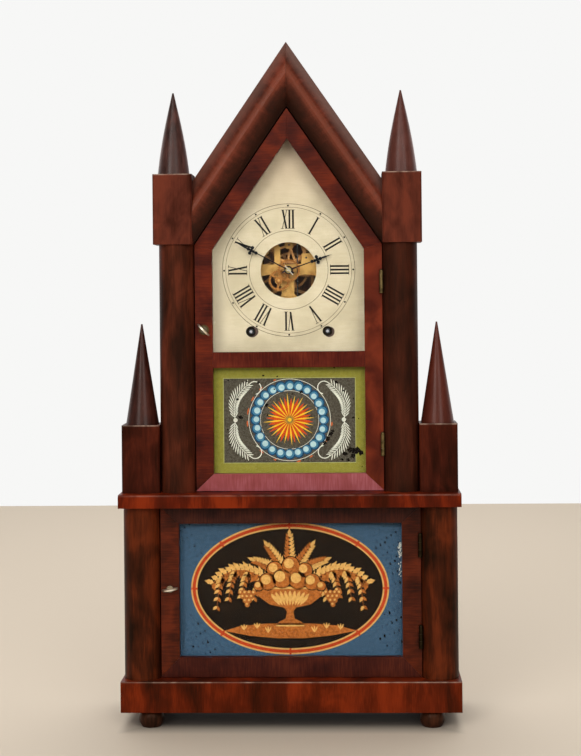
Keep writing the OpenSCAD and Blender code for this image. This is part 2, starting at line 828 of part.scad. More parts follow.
module time_drum() { color(brass_color) at_dial(great) winding_drum(); }

module time_second_wheel() {
    color(brass_color) at_dial(second) {
        wheel(second_n, great_m, second_y, heading(second, centre), 5, arbor_r - 0.1);
        lantern(pinion_n, great_m, low_pinion_y, low_pinion_y + 4, heading(second, great));
        arbor();
    }
}

module centre_wheel() {
    color(brass_color) at_dial(centre) {
        wheel(centre_n, centre_m, centre_wheel_y, heading(centre, third), 4, 1.1);
        lantern(pinion_n, great_m, second_y - 1.2, second_y + 2.8, heading(centre, second));
        rod([0, 0], 1.2, hand_y + 1, plates_end + 0.4);
        rod([0, 0], 2, centre_wheel_y - 4, centre_wheel_y);
    }
}

module time_third_wheel() {
    color(brass_color) at_dial(third) {
        wheel(third_n, third_m, third_y, heading(third, escape), 4, arbor_r - 0.1);
        lantern(small_n, centre_m, centre_wheel_y - 1.2, centre_wheel_y + 2.8,
            heading(third, centre));
        arbor();
    }
}

module escape_wheel() {
    pitch = 360 / escape_n;
    color(steel_color) at_dial(escape) {
        difference() {
            slab([for (i = [0 : escape_n - 1]) for (q = [[2.3, 0], [0, 0.62], [2.3, 0.72]])
                polar(escape_r - q[0], (i + q[1]) * pitch)], escape_y, escape_y + 1.4);
            windows(3.4, escape_r - 4.6, escape_y, 4, 2.2);
        }
        lantern(small_n, third_m, third_y - 1.2, third_y + 2.8, heading(escape, third));
        arbor(thin_arbor_r);
    }
}

// Verge with its two pallets just clear of the teeth, and the crutch wire to the pendulum.
module verge_and_crutch() {
    mid = heading(escape, verge);
    y = escape_y - 0.4;
    color(steel_color) {
        translate([0, 0, dial_z]) slab(concat([verge + polar(1.4, mid)],
            [for (q = [[4, 31.5], [0.95, 30.5], [0.95, 27.5], [2.4, 26.5]])
                escape + polar(escape_r + q[0], mid + q[1])], [verge - polar(1.3, mid)],
            [for (q = [[2.4, 26.5], [0.95, 27.5], [0.95, 30.5], [4, 31.5]])
                escape + polar(escape_r + q[0], mid - q[1])]), y, y + 2);
        at_dial(verge) {
            rod([0, 0], 2.2, y - 0.3, y + 2.3);
            rod([0, 0], pivot_r, crutch_y - 0.5, plates_end + 0.4);
            translate([0, crutch_y, -85]) cylinder(r = 0.5, h = 85, $fn = 16);
            board(-1.9, 1.9, crutch_y - 0.4, crutch_y + 0.4, -85.4, -84.6);
            for (s = [1, -1]) rod([s * 1.5, -85], 0.45, pendulum_y - 1.6, crutch_y, 16);
        }
    }
}

module pendulum() {
    lens_r = (bob_r * bob_r + 20.25) / 9;
    at_dial(verge) {
        color(steel_color) {
            board(-1.5, 1.5, pendulum_y - 0.15, pendulum_y + 0.15, -6, 7);
            translate([0, pendulum_y, -pendulum_l - bob_r - 9])
                cylinder(r = 0.6, h = pendulum_l + bob_r + 4, $fn = 16);
        }
        color(brass_color) {
            intersection() {
                translate([0, pendulum_y - 4.5 + lens_r, -pendulum_l]) sphere(r = lens_r, $fn = 96);
                translate([0, pendulum_y + 4.5 - lens_r, -pendulum_l]) sphere(r = lens_r, $fn = 96);
            }
            translate([0, pendulum_y, -pendulum_l - bob_r - 4]) cylinder(r = 3, h = 2.4);
        }
    }
}

// Motion work behind the dial.
module cannon_pinion() {
    color(brass_color) translate([0, 0, dial_z]) {
        difference() {
            rod([0, 0], cannon_r, hand_y + 0.8, 4.6);
            rod([0, 0], 1.2 + run, hand_y, 6);
        }
        lantern(pinion_n, 0.6, 0.4, 4.6, heading(centre, minute_stud), cannon_r - 0.1);
    }
}

module minute_wheel() {
    color(brass_color) at_dial(minute_stud) {
        wheel(36, 0.6, 1.7, heading(minute_stud, centre), 3, 1 + run);
        difference() {
            rod([0, 0], 1.8, -4.4, 2);
            rod([0, 0], 1 + run, -6, 4);
        }
        lantern(9, 0.64, -4.4, -0.1, heading(minute_stud, centre), 1.7);
    }
}

module hour_wheel() {
    color(brass_color) translate([0, 0, dial_z]) {
        wheel(36, 0.64, -3, heading(centre, minute_stud), 3, cannon_r + run);
        difference() {
            rod([0, 0], pipe_r, hour_hand_y + 0.8, -2);
            rod([0, 0], cannon_r + run, hour_hand_y, 0);
        }
    }
}

// Skeleton plates: one outline with windows, and a bore for every pivot.
plate_outline = [[-10, -93], [10, -93], [46, -69], [72, -26], [72, -13], [48, 46], [44, 60],
    [-44, 60], [-48, 46], [-72, -13], [-72, -26], [-46, -69]];
plate_windows = [
    [[9, -78], [27, -68], [33, -55], [48, -52], [57, -33], [9, -33]],
    [[5, -9], [9, -5.6], [15, -4.2], [22, -4.4], [30, -7], [34, -12], [33, -19], [27, -21],
        [20, -21], [18, -26], [10, -28], [5, -24]],
    [[39, -5], [58, -5], [61, -12], [38, -16]],
    [[24, 8], [54, 7], [45, 38], [40, 38], [34, 24]],
    [[-9, 6], [12, 6.6], [13.6, 17], [20.6, 17.4], [26, 26], [34, 44], [16, 44], [5, 40],
        [4.2, 24], [2.6, 22], [-2.6, 22], [-4.2, 24], [-5, 40], [-31, 44], [-17, 31], [-9, 24]],
    [[-15, 6], [-15, 22], [-19.5, 24.5], [-21, 17], [-27.6, 15], [-27, 6.5]],
    [[-40, 6], [-33, 22], [-34, 30], [-42, 44], [-62, -11], [-44, -13]],
    [[-14.6, -5.6], [-20, -4], [-29, -6], [-34, -12], [-33, -18], [-28, -20.4], [-21, -20.4],
        [-18.5, -26], [-9.6, -27.6], [-8, -24], [-8, -15.6], [-11.6, -15], [-14.6, -12]],
    [[-9, -78], [-27, -68], [-33, -55], [-48, -52], [-57, -33], [-9, -33]]];

module skeleton(y0, y1, centre_bore) {
    translate([0, 0, dial_z]) difference() {
        slab(plate_outline, y0, y1);
        for (w = plate_windows) slab(w, y0 - 1, y1 + 1);
        for (p = arbors) rod(p, pivot_r + run, y0 - 1, y1 + 1);
        for (p = [great, strike_great]) rod(p, winding_r + run, y0 - 1, y1 + 1);
        rod(centre, centre_bore, y0 - 1, y1 + 1);
    }
}

module front_plate() {
    stud = [minute_stud[0], dial_z + minute_stud[1]];
    color(brass_color) {
        skeleton(front_plate_y, between_y, 1.2 + run);
        rod(stud, 3, front_plate_y - 2, front_plate_y + 0.5);
        rod(stud, 1, -4.6, front_plate_y);
        at_dial(verge) difference() {
            board(-4, 4, pendulum_y - 1.8, front_plate_y + 0.5, 3.4, 8.4);
            board(-2.6, 2.6, pendulum_y - 0.3, pendulum_y + 0.3, 0, 10);
        }
    }
}

module back_plate() { color(brass_color) skeleton(back_plate_y, plates_end, 1.2 + run); }

module plate_pillars() {
    color(brass_color) translate([0, 0, dial_z]) for (p = pillars) {
        rod(p, 3.2, between_y, back_plate_y);
        rod(p, 5, plates_end, back_y);
    }
}

// Strike train.
module strike_great_wheel() {
    color(brass_color) at_dial(strike_great)
        wheel(great_n, great_m, great_y, heading(strike_great, strike_second), 5, winding_r + run);
}

module strike_drum() { color(brass_color) at_dial(strike_great) winding_drum(); }

module strike_second_wheel() {
    color(brass_color) at_dial(strike_second) {
        wheel(strike_second_n, strike_m, strike_second_y, heading(strike_second, strike_third), 4,
            arbor_r - 0.1);
        lantern(pinion_n, great_m, low_pinion_y, low_pinion_y + 4,
            heading(strike_second, strike_great));
        for (i = [0 : 7]) rod(polar(strike_second_n * strike_m / 2 - 2, 45 * i), 0.7,
            strike_second_y + wheel_t - 0.2, strike_second_y + wheel_t + 3, 12);
        arbor();
    }
}

module strike_third_wheel() {
    color(brass_color) at_dial(strike_third) {
        wheel(strike_third_n, strike_third_m, strike_third_y, heading(strike_third, fly), 4,
            thin_arbor_r - 0.1);
        lantern(small_n, strike_m, strike_second_y - 1.2, strike_second_y + 2.8,
            heading(strike_third, strike_second));
        arbor(thin_arbor_r);
    }
}

module strike_fly() {
    color(brass_color) at_dial(fly) {
        lantern(small_n, strike_third_m, strike_third_y - 1.2, strike_third_y + 2.8,
            heading(fly, strike_third));
        board(-12, 12, 27, 38, -0.4, 0.4);
        arbor(thin_arbor_r);
    }
}

module hammer() {
    y = 37;
    reach = dial_z + hammer_at[1] - gong_at[1];
    head_x = gong_at[0] - gong_r - gong_wire_r - 2 - hammer_at[0];
    color(steel_color) at_dial(hammer_at) {
        arbor(1);
        rod([0, 0], 2.4, y - 1.6, y + 1.6);
        translate([0, y, -reach]) cylinder(r = 0.9, h = reach, $fn = 16);
        translate([head_x - 13, y, -reach]) rotate([0, 90, 0]) cylinder(r = 4.2, h = 13);
        bar([0, 0], polar(4.2, heading(hammer_at, strike_second)), 1.6, 32.6, 34);
        rod([0, 0], 2, 32.6, 34);
    }
}

// Gong: a flat spiral of steel wire on an iron stand.
function gong_radius(t) = gong_core - 1 + (gong_r - gong_core + 1) * t;
function gong_point(t) = let (a = 360 * gong_turns * t + 90, r = gong_radius(t))
    [gong_at[0] + r * cos(a), gong_y, gong_at[1] + r * sin(a)];

module spiral_wire() {
    points = [for (i = [0 : gong_rings]) let (t = i / gong_rings, c = gong_point(t),
        u = [c[0] - gong_at[0], 0, c[2] - gong_at[1]], n = u / norm(u))
        for (k = [0 : gong_sides - 1])
            c + gong_wire_r * (cos(60 * k) * n + sin(60 * k) * [0, 1, 0])];
    polyhedron(points, concat(
        [for (i = [0 : gong_rings - 1]) for (k = [0 : gong_sides - 1])
            let (a = i * gong_sides + k, b = i * gong_sides + (k + 1) % gong_sides)
            each [[a, b + gong_sides, b], [a, a + gong_sides, b + gong_sides]]],
        [for (k = [1 : gong_sides - 2]) [0, k, k + 1]],
        [for (k = [1 : gong_sides - 2]) let (e = gong_rings * gong_sides) [e, e + k + 1, e + k]]));
}

module gong() {
    echo(str("least gap between the gong's turns: ", gong_pitch - 2 * gong_wire_r, " mm"));
    color(steel_color) spiral_wire();
    color(iron_color) {
        rod(gong_at, gong_core, gong_y + gong_wire_r + 0.1, back_y);
        rod(gong_at, 14, back_y - 3, back_y);
    }
}

// Leaf spring in the base, its levers, links and cords.
module leaf(i) {
    half = spring_half - i * 10;
    r = spring_r + i * leaf_pitch;
    top = spring_z + spring_r;
    intersection() {
        difference() {
            rod([0, top], r + spring_leaf_t, cord_y - spring_w / 2, cord_y + spring_w / 2, 180);
            rod([0, top], r, 0, 60, 180);
            translate([0, cord_y, 0]) cylinder(r = 4.3, h = 300);
        }
        board(-half, half, 0, 60, spring_z - 30, spring_z + 30);
    }
}

module leaf_spring() { color(steel_color) for (i = [0 : leaf_n - 1]) leaf(i); }

module spring_clamp() {
    half = spring_w / 2 + 3;
    low = spring_z - leaf_n * leaf_pitch;
    color(iron_color) {
        difference() {
            board(-14, 14, cord_y - half + 3, cord_y + half - 3, floor_z, low - 0.1);
            translate([0, cord_y, 0]) cylinder(r = 4.3, h = 300);
        }
        difference() {
            board(-9, 9, cord_y - half + 3, cord_y + half - 3, spring_z + 0.3, spring_z + 5);
            translate([0, cord_y, 0]) cylinder(r = 4.3, h = 300);
        }
        translate([0, cord_y, floor_z - floor_t]) cylinder(r = 4, h = spring_z + 5 - floor_z + floor_t);
        translate([0, cord_y, spring_z + 5]) cylinder(r = 7.5, h = 5, $fn = 6);
    }
}

// One quadrant lever, drawn for the right side, turning on its bracket's pin.
module quadrant() {
    y0 = cord_y - lever_t / 2;
    y1 = cord_y + lever_t / 2;
    translate([lever_x, 0, lever_z]) difference() {
        union() {
            intersection() {
                difference() {
                    rod([0, 0], quadrant_r, y0, y1, 120);
                    rod([0, 0], quadrant_r - 6, y0 - 1, y1 + 1, 120);
                }
                slab([[0, 0], [-60, 38], [-60, -90], [-14, -90]], y0 - 1, y1 + 1);
            }
            for (a = [164, 236]) bar(polar(7, a), polar(quadrant_r - 3, a), 6, y0 + 0.4, y1 - 0.4);
            bar([-7, -0.5], [-short_arm, -0.5], 6, y0 + 0.2, y1 - 0.2);
            rod([-short_arm, 0], 4, y0, y1);
            rod([0, 0], 9, y0 - 0.2, y1 + 0.2);
        }
        rod([0, 0], 4 + run, y0 - 1, y1 + 1);
        rod([-short_arm, 0], 1.6 + run, y0 - 1, y1 + 1);
    }
}

module time_lever() { color(iron_color) quadrant(); }
module strike_lever() { color(iron_color) mirror([1, 0, 0]) quadrant(); }

module lever_brackets() {
    y0 = cord_y - lever_t / 2;
    y1 = cord_y + lever_t / 2;
    wall = y1 + 4.5;
    color(iron_color) both_sides() {
        rod([lever_x, lever_z], 4, y0 - 1, wall + 1);
        rod([lever_x, lever_z], 6.5, y0 - 2.6, y0 - 0.4);
        rod([lever_x, lever_z], 9, wall, wall + 5);
        board(lever_x - 7, lever_x + 7, wall, wall + 5, floor_z, lever_z);
        board(lever_x - 14, lever_x + 14, wall, back_y, floor_z, floor_z + 4);
    }
}

// Stirrup that hangs on the short arm and reaches under the end of the top leaf.
module link() {
    toe_x = spring_half - 9;
    bottom_r = spring_r + spring_leaf_t;
    toe_z = spring_z + spring_r - sqrt(bottom_r * bottom_r - toe_x * toe_x) - 0.3;
    cheek = lever_t / 2 + 0.3;
    rod([link_x, lever_z], 1.6, cord_y - cheek - 2, cord_y + cheek + 2);
    for (y = [cord_y - cheek - 2.7, cord_y + cheek]) {
        rod([link_x, lever_z], 3.4, y, y + 2.7);
        board(link_x - 1.7, link_x + 1.7, y, y + 2.7, toe_z - 2.4, lever_z);
    }
    board(toe_x, link_x + 1.7, cord_y - cheek - 2.7, cord_y + cheek + 2.7, toe_z - 2.4, toe_z);
}

module time_link() { color(iron_color) link(); }
module strike_link() { color(iron_color) mirror([1, 0, 0]) link(); }

module drive_cords() {
    color("#b9a67a") both_sides() translate([cord_x, cord_y, lever_z])
        cylinder(r = cord_r, h = dial_z - winding_down - lever_z);
}

ball_feet();
plinth();
floor_board();
side_boards();
front_posts();
lower_columns();
waist_board();
backboards();
roof_boards();
upper_columns();
shoulder_blocks();
lower_steeples();
capitals();
upper_steeples();
gable_rail_left();
gable_rail_right();
hinge_fixed_leaves();
upper_door_frame();
dial_glass();
upper_tablet();
upper_hinge_door_leaves();
latch_escutcheon();
upper_latch();
lower_door_frame();
lower_tablet();
lower_hinge_door_leaves();
lower_latch();
dial_plate();
dial_blocks();
minute_hand();
cannon_pinion();
minute_wheel();
hour_hand();
hour_wheel();
front_plate();
back_plate();
plate_pillars();
time_great_wheel();
time_drum();
time_second_wheel();
centre_wheel();
time_third_wheel();
escape_wheel();
verge_and_crutch();
pendulum();
strike_great_wheel();
strike_drum();
strike_second_wheel();
strike_third_wheel();
strike_fly();
hammer();
gong();
leaf_spring();
spring_clamp();
lever_brackets();
time_lever();
strike_lever();
time_link();
strike_link();
drive_cords();
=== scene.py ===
# Double steeple shelf clock in mahogany veneer, with a painted dial, two painted glass tablets
# and a brass movement that is driven by a leaf spring in the base.
import math

import bmesh
import bpy
from mathutils import Matrix, Vector


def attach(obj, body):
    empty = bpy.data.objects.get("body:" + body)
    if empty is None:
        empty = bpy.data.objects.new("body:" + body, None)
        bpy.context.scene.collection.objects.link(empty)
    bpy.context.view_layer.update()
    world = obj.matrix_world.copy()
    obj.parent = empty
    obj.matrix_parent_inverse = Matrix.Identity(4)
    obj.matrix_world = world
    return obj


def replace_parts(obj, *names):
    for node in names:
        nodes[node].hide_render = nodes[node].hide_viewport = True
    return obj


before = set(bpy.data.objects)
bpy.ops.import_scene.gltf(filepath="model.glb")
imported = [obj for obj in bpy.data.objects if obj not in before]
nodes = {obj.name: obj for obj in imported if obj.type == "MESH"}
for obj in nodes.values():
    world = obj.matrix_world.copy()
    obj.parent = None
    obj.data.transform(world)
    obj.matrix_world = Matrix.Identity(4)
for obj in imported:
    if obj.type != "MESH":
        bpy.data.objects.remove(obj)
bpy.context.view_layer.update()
MM = 0.001

# ---- Ball feet ----
# Turned maple balls, stained nearly black and shellacked, with flats where they stand and are
# glued under the plinth. Shellac over stain gives a soft shine and lets a little grain through.


def linear(colour):
    """An sRGB hex colour as the linear colour that Blender works with."""
    parts = [int(colour[i:i + 2], 16) / 255 for i in (1, 3, 5)]
    return [p / 12.92 if p <= 0.04045 else ((p + 0.055) / 1.055) ** 2.4 for p in parts] + [1.0]


def put(tree, kind, inputs={}, ramp=None, **settings):
    """Adds a node with its settings. An input takes a value, a hex colour or another socket."""
    node = tree.nodes.new("ShaderNode" + kind)
    for key, value in settings.items():
        setattr(node, key, value)
    for key, value in inputs.items():
        if isinstance(value, bpy.types.NodeSocket):
            tree.links.new(value, node.inputs[key])
        else:
            node.inputs[key].default_value = linear(value) if isinstance(value, str) else value
    if ramp:
        stops = node.color_ramp.elements
        while len(stops) < len(ramp):
            stops.new(0.5)
        for stop, (place, colour) in zip(stops, ramp):
            stop.position = place
            stop.color = linear(colour)
    return node


def calc(tree, operation, *values):
    """Arithmetic on one to three numbers or sockets."""
    return put(tree, "Math", dict(enumerate(values)), operation=operation).outputs[0]


def remap(tree, value, low, high, start, end):
    """start where the value is low or less, end where it is high or more."""
    return put(tree, "MapRange", {0: value, 1: low, 2: high, 3: start, 4: end}).outputs[0]


def mix(tree, share, colour, over):
    """A colour with a share of another colour over it."""
    return put(tree, "Mix", {0: share, 6: colour, 7: over}, data_type="RGBA").outputs[2]


def shades(tree, value, stops):
    """The colour that belongs to a value, between stops of (value, hex)."""
    return put(tree, "ValToRGB", {0: value}, ramp=stops).outputs[0]


def axes(tree, place):
    """The x, y and z of a place."""
    return put(tree, "SeparateXYZ", {0: place}).outputs


def distance(tree, place, at):
    """How far, in m, a place given as x, y and z lies from a point in mm."""
    joined = put(tree, "CombineXYZ", dict(enumerate(place))).outputs[0]
    return put(tree, "VectorMath", {0: joined, 1: [a * MM for a in at]},
               operation="DISTANCE").outputs["Value"]


def noise(tree, place, scale, detail, distortion=0):
    """Soft blotches, scale of them to each unit of place."""
    return put(tree, "TexNoise", {"Vector": place, "Scale": scale, "Detail": detail,
                                  "Distortion": distortion}).outputs[0]


def stretched(tree, place, size, turn=(0, 0, 0)):
    """Places turned back by turn and counted in steps of size mm along x, y and z."""
    return put(tree, "Mapping", {"Vector": place, "Rotation": turn,
                                 "Scale": [s * MM for s in size]},
               vector_type="TEXTURE").outputs[0]


def new_material(name):
    """An empty material, its node tree and the socket that gives places on the object."""
    material = bpy.data.materials.new(name)
    material.use_nodes = True
    tree = material.node_tree
    tree.nodes.clear()
    return material, tree, put(tree, "TexCoord").outputs["Object"]


def finish_material(tree, shader):
    put(tree, "OutputMaterial", {"Surface": shader.outputs[0]})


def surface(tree, colour, rough, others={}, bump=None):
    """Ends a material in one solid surface. bump is (height, strength, depth in mm)."""
    inputs = {"Base Color": colour, "Roughness": rough, **others}
    if bump:
        height, strength, depth = bump
        inputs["Normal"] = put(tree, "Bump", {"Height": height, "Strength": strength,
                                              "Distance": depth * MM}).outputs[0]
    finish_material(tree, put(tree, "BsdfPrincipled", inputs))


def dress(material, *names):
    """Gives CAD nodes their finish."""
    for name in names:
        nodes[name].data.materials.clear()
        nodes[name].data.materials.append(material)


# A gable rail's rise for each mm across, how high its inner slope would meet the middle, and
# how far out from there its crest lies, both in m.
RISE, INNER, CREST = 1.46, 0.6123, 0.035


def veneer(name, dark, ground, pale, turn=(0, 0, 0), clouds=45, ribbon=7, rough=0.42, coat=0.02,
           pale_arris=None, glint=0.1, tint="#e8b090", right=None, rail_light=None, dust=0):
    """Mahogany veneer under shellac, grain along Z before turn: clouds and ribbon are how wide its
    dark flames and its stripes are, in mm. The pores are drawn 1 mm wide, finer ones don't show.
    pale_arris is (height, depth, width) of a front arris that is drawn as a pale line, and right
    is the shade that the right one of a pair leans to. dust is how much pale dust lies in the
    polish, seen along the edges. A gable rail gets painted light as rail_light says, (share,
    shade): painted shade on its inner slope, a painted highlight along its crest, and a painted
    reflection in that shade over its outer slope, up to that share."""
    material, tree, place = new_material(name)
    x, y, z = axes(tree, place)
    flames = noise(tree, stretched(tree, place, (clouds, clouds, clouds * 1.9), turn), 1, 3, 0.7)
    stripes = noise(tree, stretched(tree, place, (ribbon, ribbon, ribbon * 9), turn), 1, 2, 0.4)
    pores = noise(tree, stretched(tree, place, (1, 1, 11), turn), 1, 2)
    figure = calc(tree, "MULTIPLY_ADD", flames, 0.55, calc(
        tree, "MULTIPLY_ADD", stripes, 0.3, calc(tree, "MULTIPLY", pores, 0.15)))
    colour = shades(tree, figure, [(0.38, dark), (0.5, ground), (0.62, pale)])
    # a pale line drawn along the top front arris
    if pale_arris:
        up, front, width = pale_arris
        off = distance(tree, (0, y, z), (0, front, up))
        arris_share = remap(tree, off, width * 0.3 * MM, width * MM, 1, 0)
        patchy = remap(tree, stripes, 0.4, 0.62, 0.25, 0.9)
        colour = mix(tree, calc(tree, "MULTIPLY", arris_share, patchy), colour, "#a08878")
    if right:
        colour = mix(tree, remap(tree, x, -MM, MM, 0, 0.4), colour, right)
    if rail_light:
        reflection_share, reflection_colour = rail_light
        # how far out from the gable's inner slope, in m
        out = calc(tree, "SUBTRACT", calc(
            tree, "MULTIPLY_ADD", calc(tree, "ABSOLUTE", x), RISE, z), INNER)
        crest = calc(tree, "ABSOLUTE", calc(tree, "SUBTRACT", out, CREST))
        # painted shade on the inner slope, a painted highlight along the crest, a painted
        # reflection on the outer slope
        colour = mix(tree, remap(tree, out, 0.003, 0.03, 0.92, 0), colour, "#1a0a05")
        colour = mix(tree, remap(tree, crest, 0.002, 0.011, 0.5, 0), colour, "#7a3319")
        colour = mix(tree, remap(tree, out, 0.044, 0.056, 0, reflection_share), colour, reflection_colour)
    surface(tree, colour, remap(tree, stripes, 0.35, 0.65, rough - 0.07, rough + 0.09), {
        "Specular IOR Level": glint, "Specular Tint": tint, "Coat Weight": coat,
        "Coat Roughness": 0.2, "Coat Tint": tint, "Sheen Weight": dust,
        "Sheen Roughness": 0.35, "Sheen Tint": "#f2e6e6"}, bump=(pores, 0.12, 0.3))
    return material


dress(veneer("stained turned maple", "#1e110a", "#2f1a10", "#412315", clouds=18, ribbon=3,
             rough=0.35), "ball_feet")

# ---- Plinth ----
# Pine boards faced with crotch mahogany, its figure set upright along the front. The veneer is
# about 1 mm thick, glued down and French polished, so it is smooth with a warm, broken colour.
dress(veneer("upright crotch mahogany", "#2b0e04", "#521907", "#7b290d", clouds=36, ribbon=16,
             pale_arris=(46, -55, 1.3)), "plinth")

# ---- Floor board, back boards and dial blocks ----
# Sawn white pine, nailed or glued in place and left bare. It has gone brown with age, and its
# growth lines and the joints between its boards show.
BOARD = 112  # the width of a board, in mm


def bare_pine(name, turn=(0, 0, 0)):
    """Sawn pine, the joints between its boards drawn as dark lines."""
    material, tree, place = new_material(name)
    growth = put(tree, "TexWave", {"Vector": stretched(tree, place, (30, 30, 320), turn),
                                   "Scale": 0.5, "Distortion": 6, "Detail": 2,
                                   "Detail Scale": 1.2}).outputs["Fac"]
    saw = noise(tree, stretched(tree, place, (1.2, 1.2, 22), turn), 1, 3)
    stain = noise(tree, place, 16, 3)
    colour = shades(tree, growth, [(0.0, "#7b4f2c"), (0.3, "#895c35"), (1.0, "#93673e")])
    colour = mix(tree, remap(tree, stain, 0.4, 0.7, 0, 0.6), colour, "#583820")
    colour = mix(tree, remap(tree, saw, 0.4, 0.65, 0, 0.35), colour, "#3b2615")
    across = put(tree, "VectorMath", {0: place, 1: (math.cos(turn[1]), 0, math.sin(turn[1]))},
                 operation="DOT_PRODUCT").outputs["Value"]
    joint = remap(tree, calc(tree, "PINGPONG", across, BOARD / 2 * MM), (BOARD / 2 - 0.9) * MM,
                  (BOARD / 2 - 0.3) * MM, 0, 0.8)
    surface(tree, mix(tree, joint, colour, "#24150b"), 0.78, bump=(saw, 0.35, 0.4))
    return material


dress(bare_pine("bare pine, grain upright"), "backboards", "dial_blocks")
dress(bare_pine("bare pine, grain across", (0, math.pi / 2, 0)), "floor_board")

# ---- Posts and half columns ----
# Half round pine veneered in dark mottled mahogany, glued to the faces of the posts. Age and
# old varnish have turned it a brown that is close to black, broken by red patches.
dress(veneer("dark mottled mahogany, lower", "#1b0c05", "#3b180a", "#5e2610", clouds=30,
             ribbon=6), "lower_columns")
dress(veneer("dark mottled mahogany, upper", "#24110a", "#421d11", "#5e2a1a", clouds=42,
             right="#25120c"), "upper_columns")
dress(veneer("dark stained posts and sides", "#1f0c06", "#37160b", "#4e2010", clouds=60,
             ribbon=5), "front_posts", "side_boards")

# ---- Waist board ----
# The shelf between the two cases, veneered across its front edge with upright grain. Its upper
# front arris is drawn as a pale line.
dress(veneer("waist board mahogany", "#300e04", "#511607", "#7c280c", clouds=32, ribbon=13,
             pale_arris=(229, -56, 1.9)), "waist_board")

# ---- Shoulder blocks, capitals and steeples ----
# Square blocks veneered in mahogany, and turned spires glued on top of them. The upper spires
# have dust in their polish, which shows along their edges.
dress(veneer("shoulder block mahogany", "#240b05", "#38130a", "#4e1d10", clouds=24, ribbon=6,
             pale_arris=(296.2, -40, 1.5)), "shoulder_blocks")
dress(veneer("capital mahogany", "#3a170e", "#52251a", "#672f20", clouds=17, ribbon=12,
             pale_arris=(544.6, -44, 1.4)), "capitals")
dress(veneer("turned steeple wood, upper", "#28140f", "#3d2019", "#54312a", clouds=26, ribbon=3,
             rough=0.34, coat=0.06, glint=0.26, tint="#f0e6e0", right="#612a1d", dust=0.9),
      "upper_steeples")
dress(veneer("turned steeple wood, lower", "#200e0a", "#321610", "#452119", clouds=26, ribbon=3,
             rough=0.34, coat=0.14, glint=0.22, tint="#ecccbe", right="#6b2d1e"),
      "lower_steeples")

# ---- Gable rails and roof ----
# Moulded rails with a soft ridge, their veneer laid along the slope, mitred at the top. Painted
# shade darkens their inner slopes, a painted highlight runs along their crests, and a painted
# reflection lightens their outer slopes, more on the right one.
SLOPE = math.atan(1 / RISE)
for side, turn, rail_light in (("left", math.pi / 2 + SLOPE, (0.5, "#6b4639")),
                            ("right", math.pi / 2 - SLOPE, (0.75, "#6b4f46"))):
    dress(veneer("gable rail mahogany, " + side, "#300f08", "#481a0d", "#65291a", (0, turn, 0),
                 clouds=34, ribbon=5, coat=0.05, glint=0.3, tint="#e8c8b4", rail_light=rail_light),
          "gable_rail_" + side)
dress(veneer("roof boards, stained", "#200c06", "#34140b", "#481c10", (math.pi / 2, 0, 0)),
      "roof_boards")

# ---- Doors ----
# Mitred frames in red mahogany veneer. Every rail and stile has its own strip of veneer with the
# grain along it, so the colour changes at each mitre. The low rail is painted rose: partly faded
# veneer, partly a painted reflection of the light from above.


def door_veneer(name, rails, tones, red):
    """rails are those that cross the door: (low edge, high edge, half the length of each edge,
    how far the veneer laps over both, tones), in mm. tones are a dark, a middle and a pale shade,
    and those beside rails are for the stiles and the sloping rails. Beyond red mm to the right
    the veneer is a redder sheet."""
    material, tree, place = new_material(name)
    x, _, up = axes(tree, place)
    across = calc(tree, "ABSOLUTE", x)
    flames = noise(tree, place, 34, 3, 0.6)
    upright = noise(tree, stretched(tree, place, (1.3, 3, 16)), 1, 2)
    level = noise(tree, stretched(tree, place, (16, 3, 1.3)), 1, 2)

    def strip(flamed, fibre, tones):
        figure = calc(tree, "MULTIPLY_ADD", flames, flamed,
                      calc(tree, "MULTIPLY", fibre, 1 - flamed))
        return shades(tree, figure, list(zip((0.36, 0.5, 0.64), tones)))

    # the redder sheet ends where the stile meets the sloping rail
    stile = calc(tree, "LESS_THAN", calc(tree, "MULTIPLY_ADD", across, -0.35, up), 0.443)
    sunned = calc(tree, "MULTIPLY", calc(tree, "GREATER_THAN", x, red * MM), stile)
    redder = shades(tree, flames, [(0.36, "#481506"), (0.5, "#5e1f0a"), (0.64, "#722911")])
    colour = mix(tree, sunned, strip(0.7, level, tones), redder)
    for low, high, long_low, long_high, lap, rail_tones in rails:
        mitre = remap(tree, up, low * MM, high * MM, long_low * MM, long_high * MM)
        share = calc(tree, "MULTIPLY", calc(tree, "LESS_THAN", across, mitre), calc(
            tree, "MULTIPLY", calc(tree, "GREATER_THAN", up, (low - lap) * MM),
            calc(tree, "LESS_THAN", up, (high + lap) * MM)))
        colour = mix(tree, share, colour, strip(0.6, upright, rail_tones))
    surface(tree, colour, remap(tree, flames, 0.35, 0.65, 0.36, 0.5), {
        "Specular IOR Level": 0.1, "Coat Weight": 0.03, "Coat Roughness": 0.2},
        bump=(level, 0.12, 0.3))
    return material


# the low rail's rose: faded veneer with a painted reflection of the light from above in it
ROSE = ("#8b4140", "#994c4e", "#aa6065")
dress(door_veneer("upper door mahogany", [
    (229.6, 246.4, 93.4, 75.6, 0.5, ROSE),
    (352, 367.6, 75.6, 75.6, 0, ("#420f05", "#561a0b", "#682510"))],
    ("#330b03", "#4d1505", "#682209"), 75.6), "upper_door_frame")
dress(door_veneer("lower door mahogany", [
    (46.6, 66.2, 128.9, 110.3, 0.5, ("#2c0c06", "#3f150b", "#522010")),
    (198.4, 215.4, 110.3, 128.9, 0.5, ("#260d07", "#38160c", "#4a2011"))],
    ("#2c0d03", "#451705", "#5f220a"), 200), "lower_door_frame")

# ---- Hinges, latches and escutcheon ----
# Cast and turned brass, screwed in place and never lacquered: worn bright where hands touch it
# and brown elsewhere.
WINDING = (38.6, 387.4)  # the winding squares: how far to each side, and how high, in mm


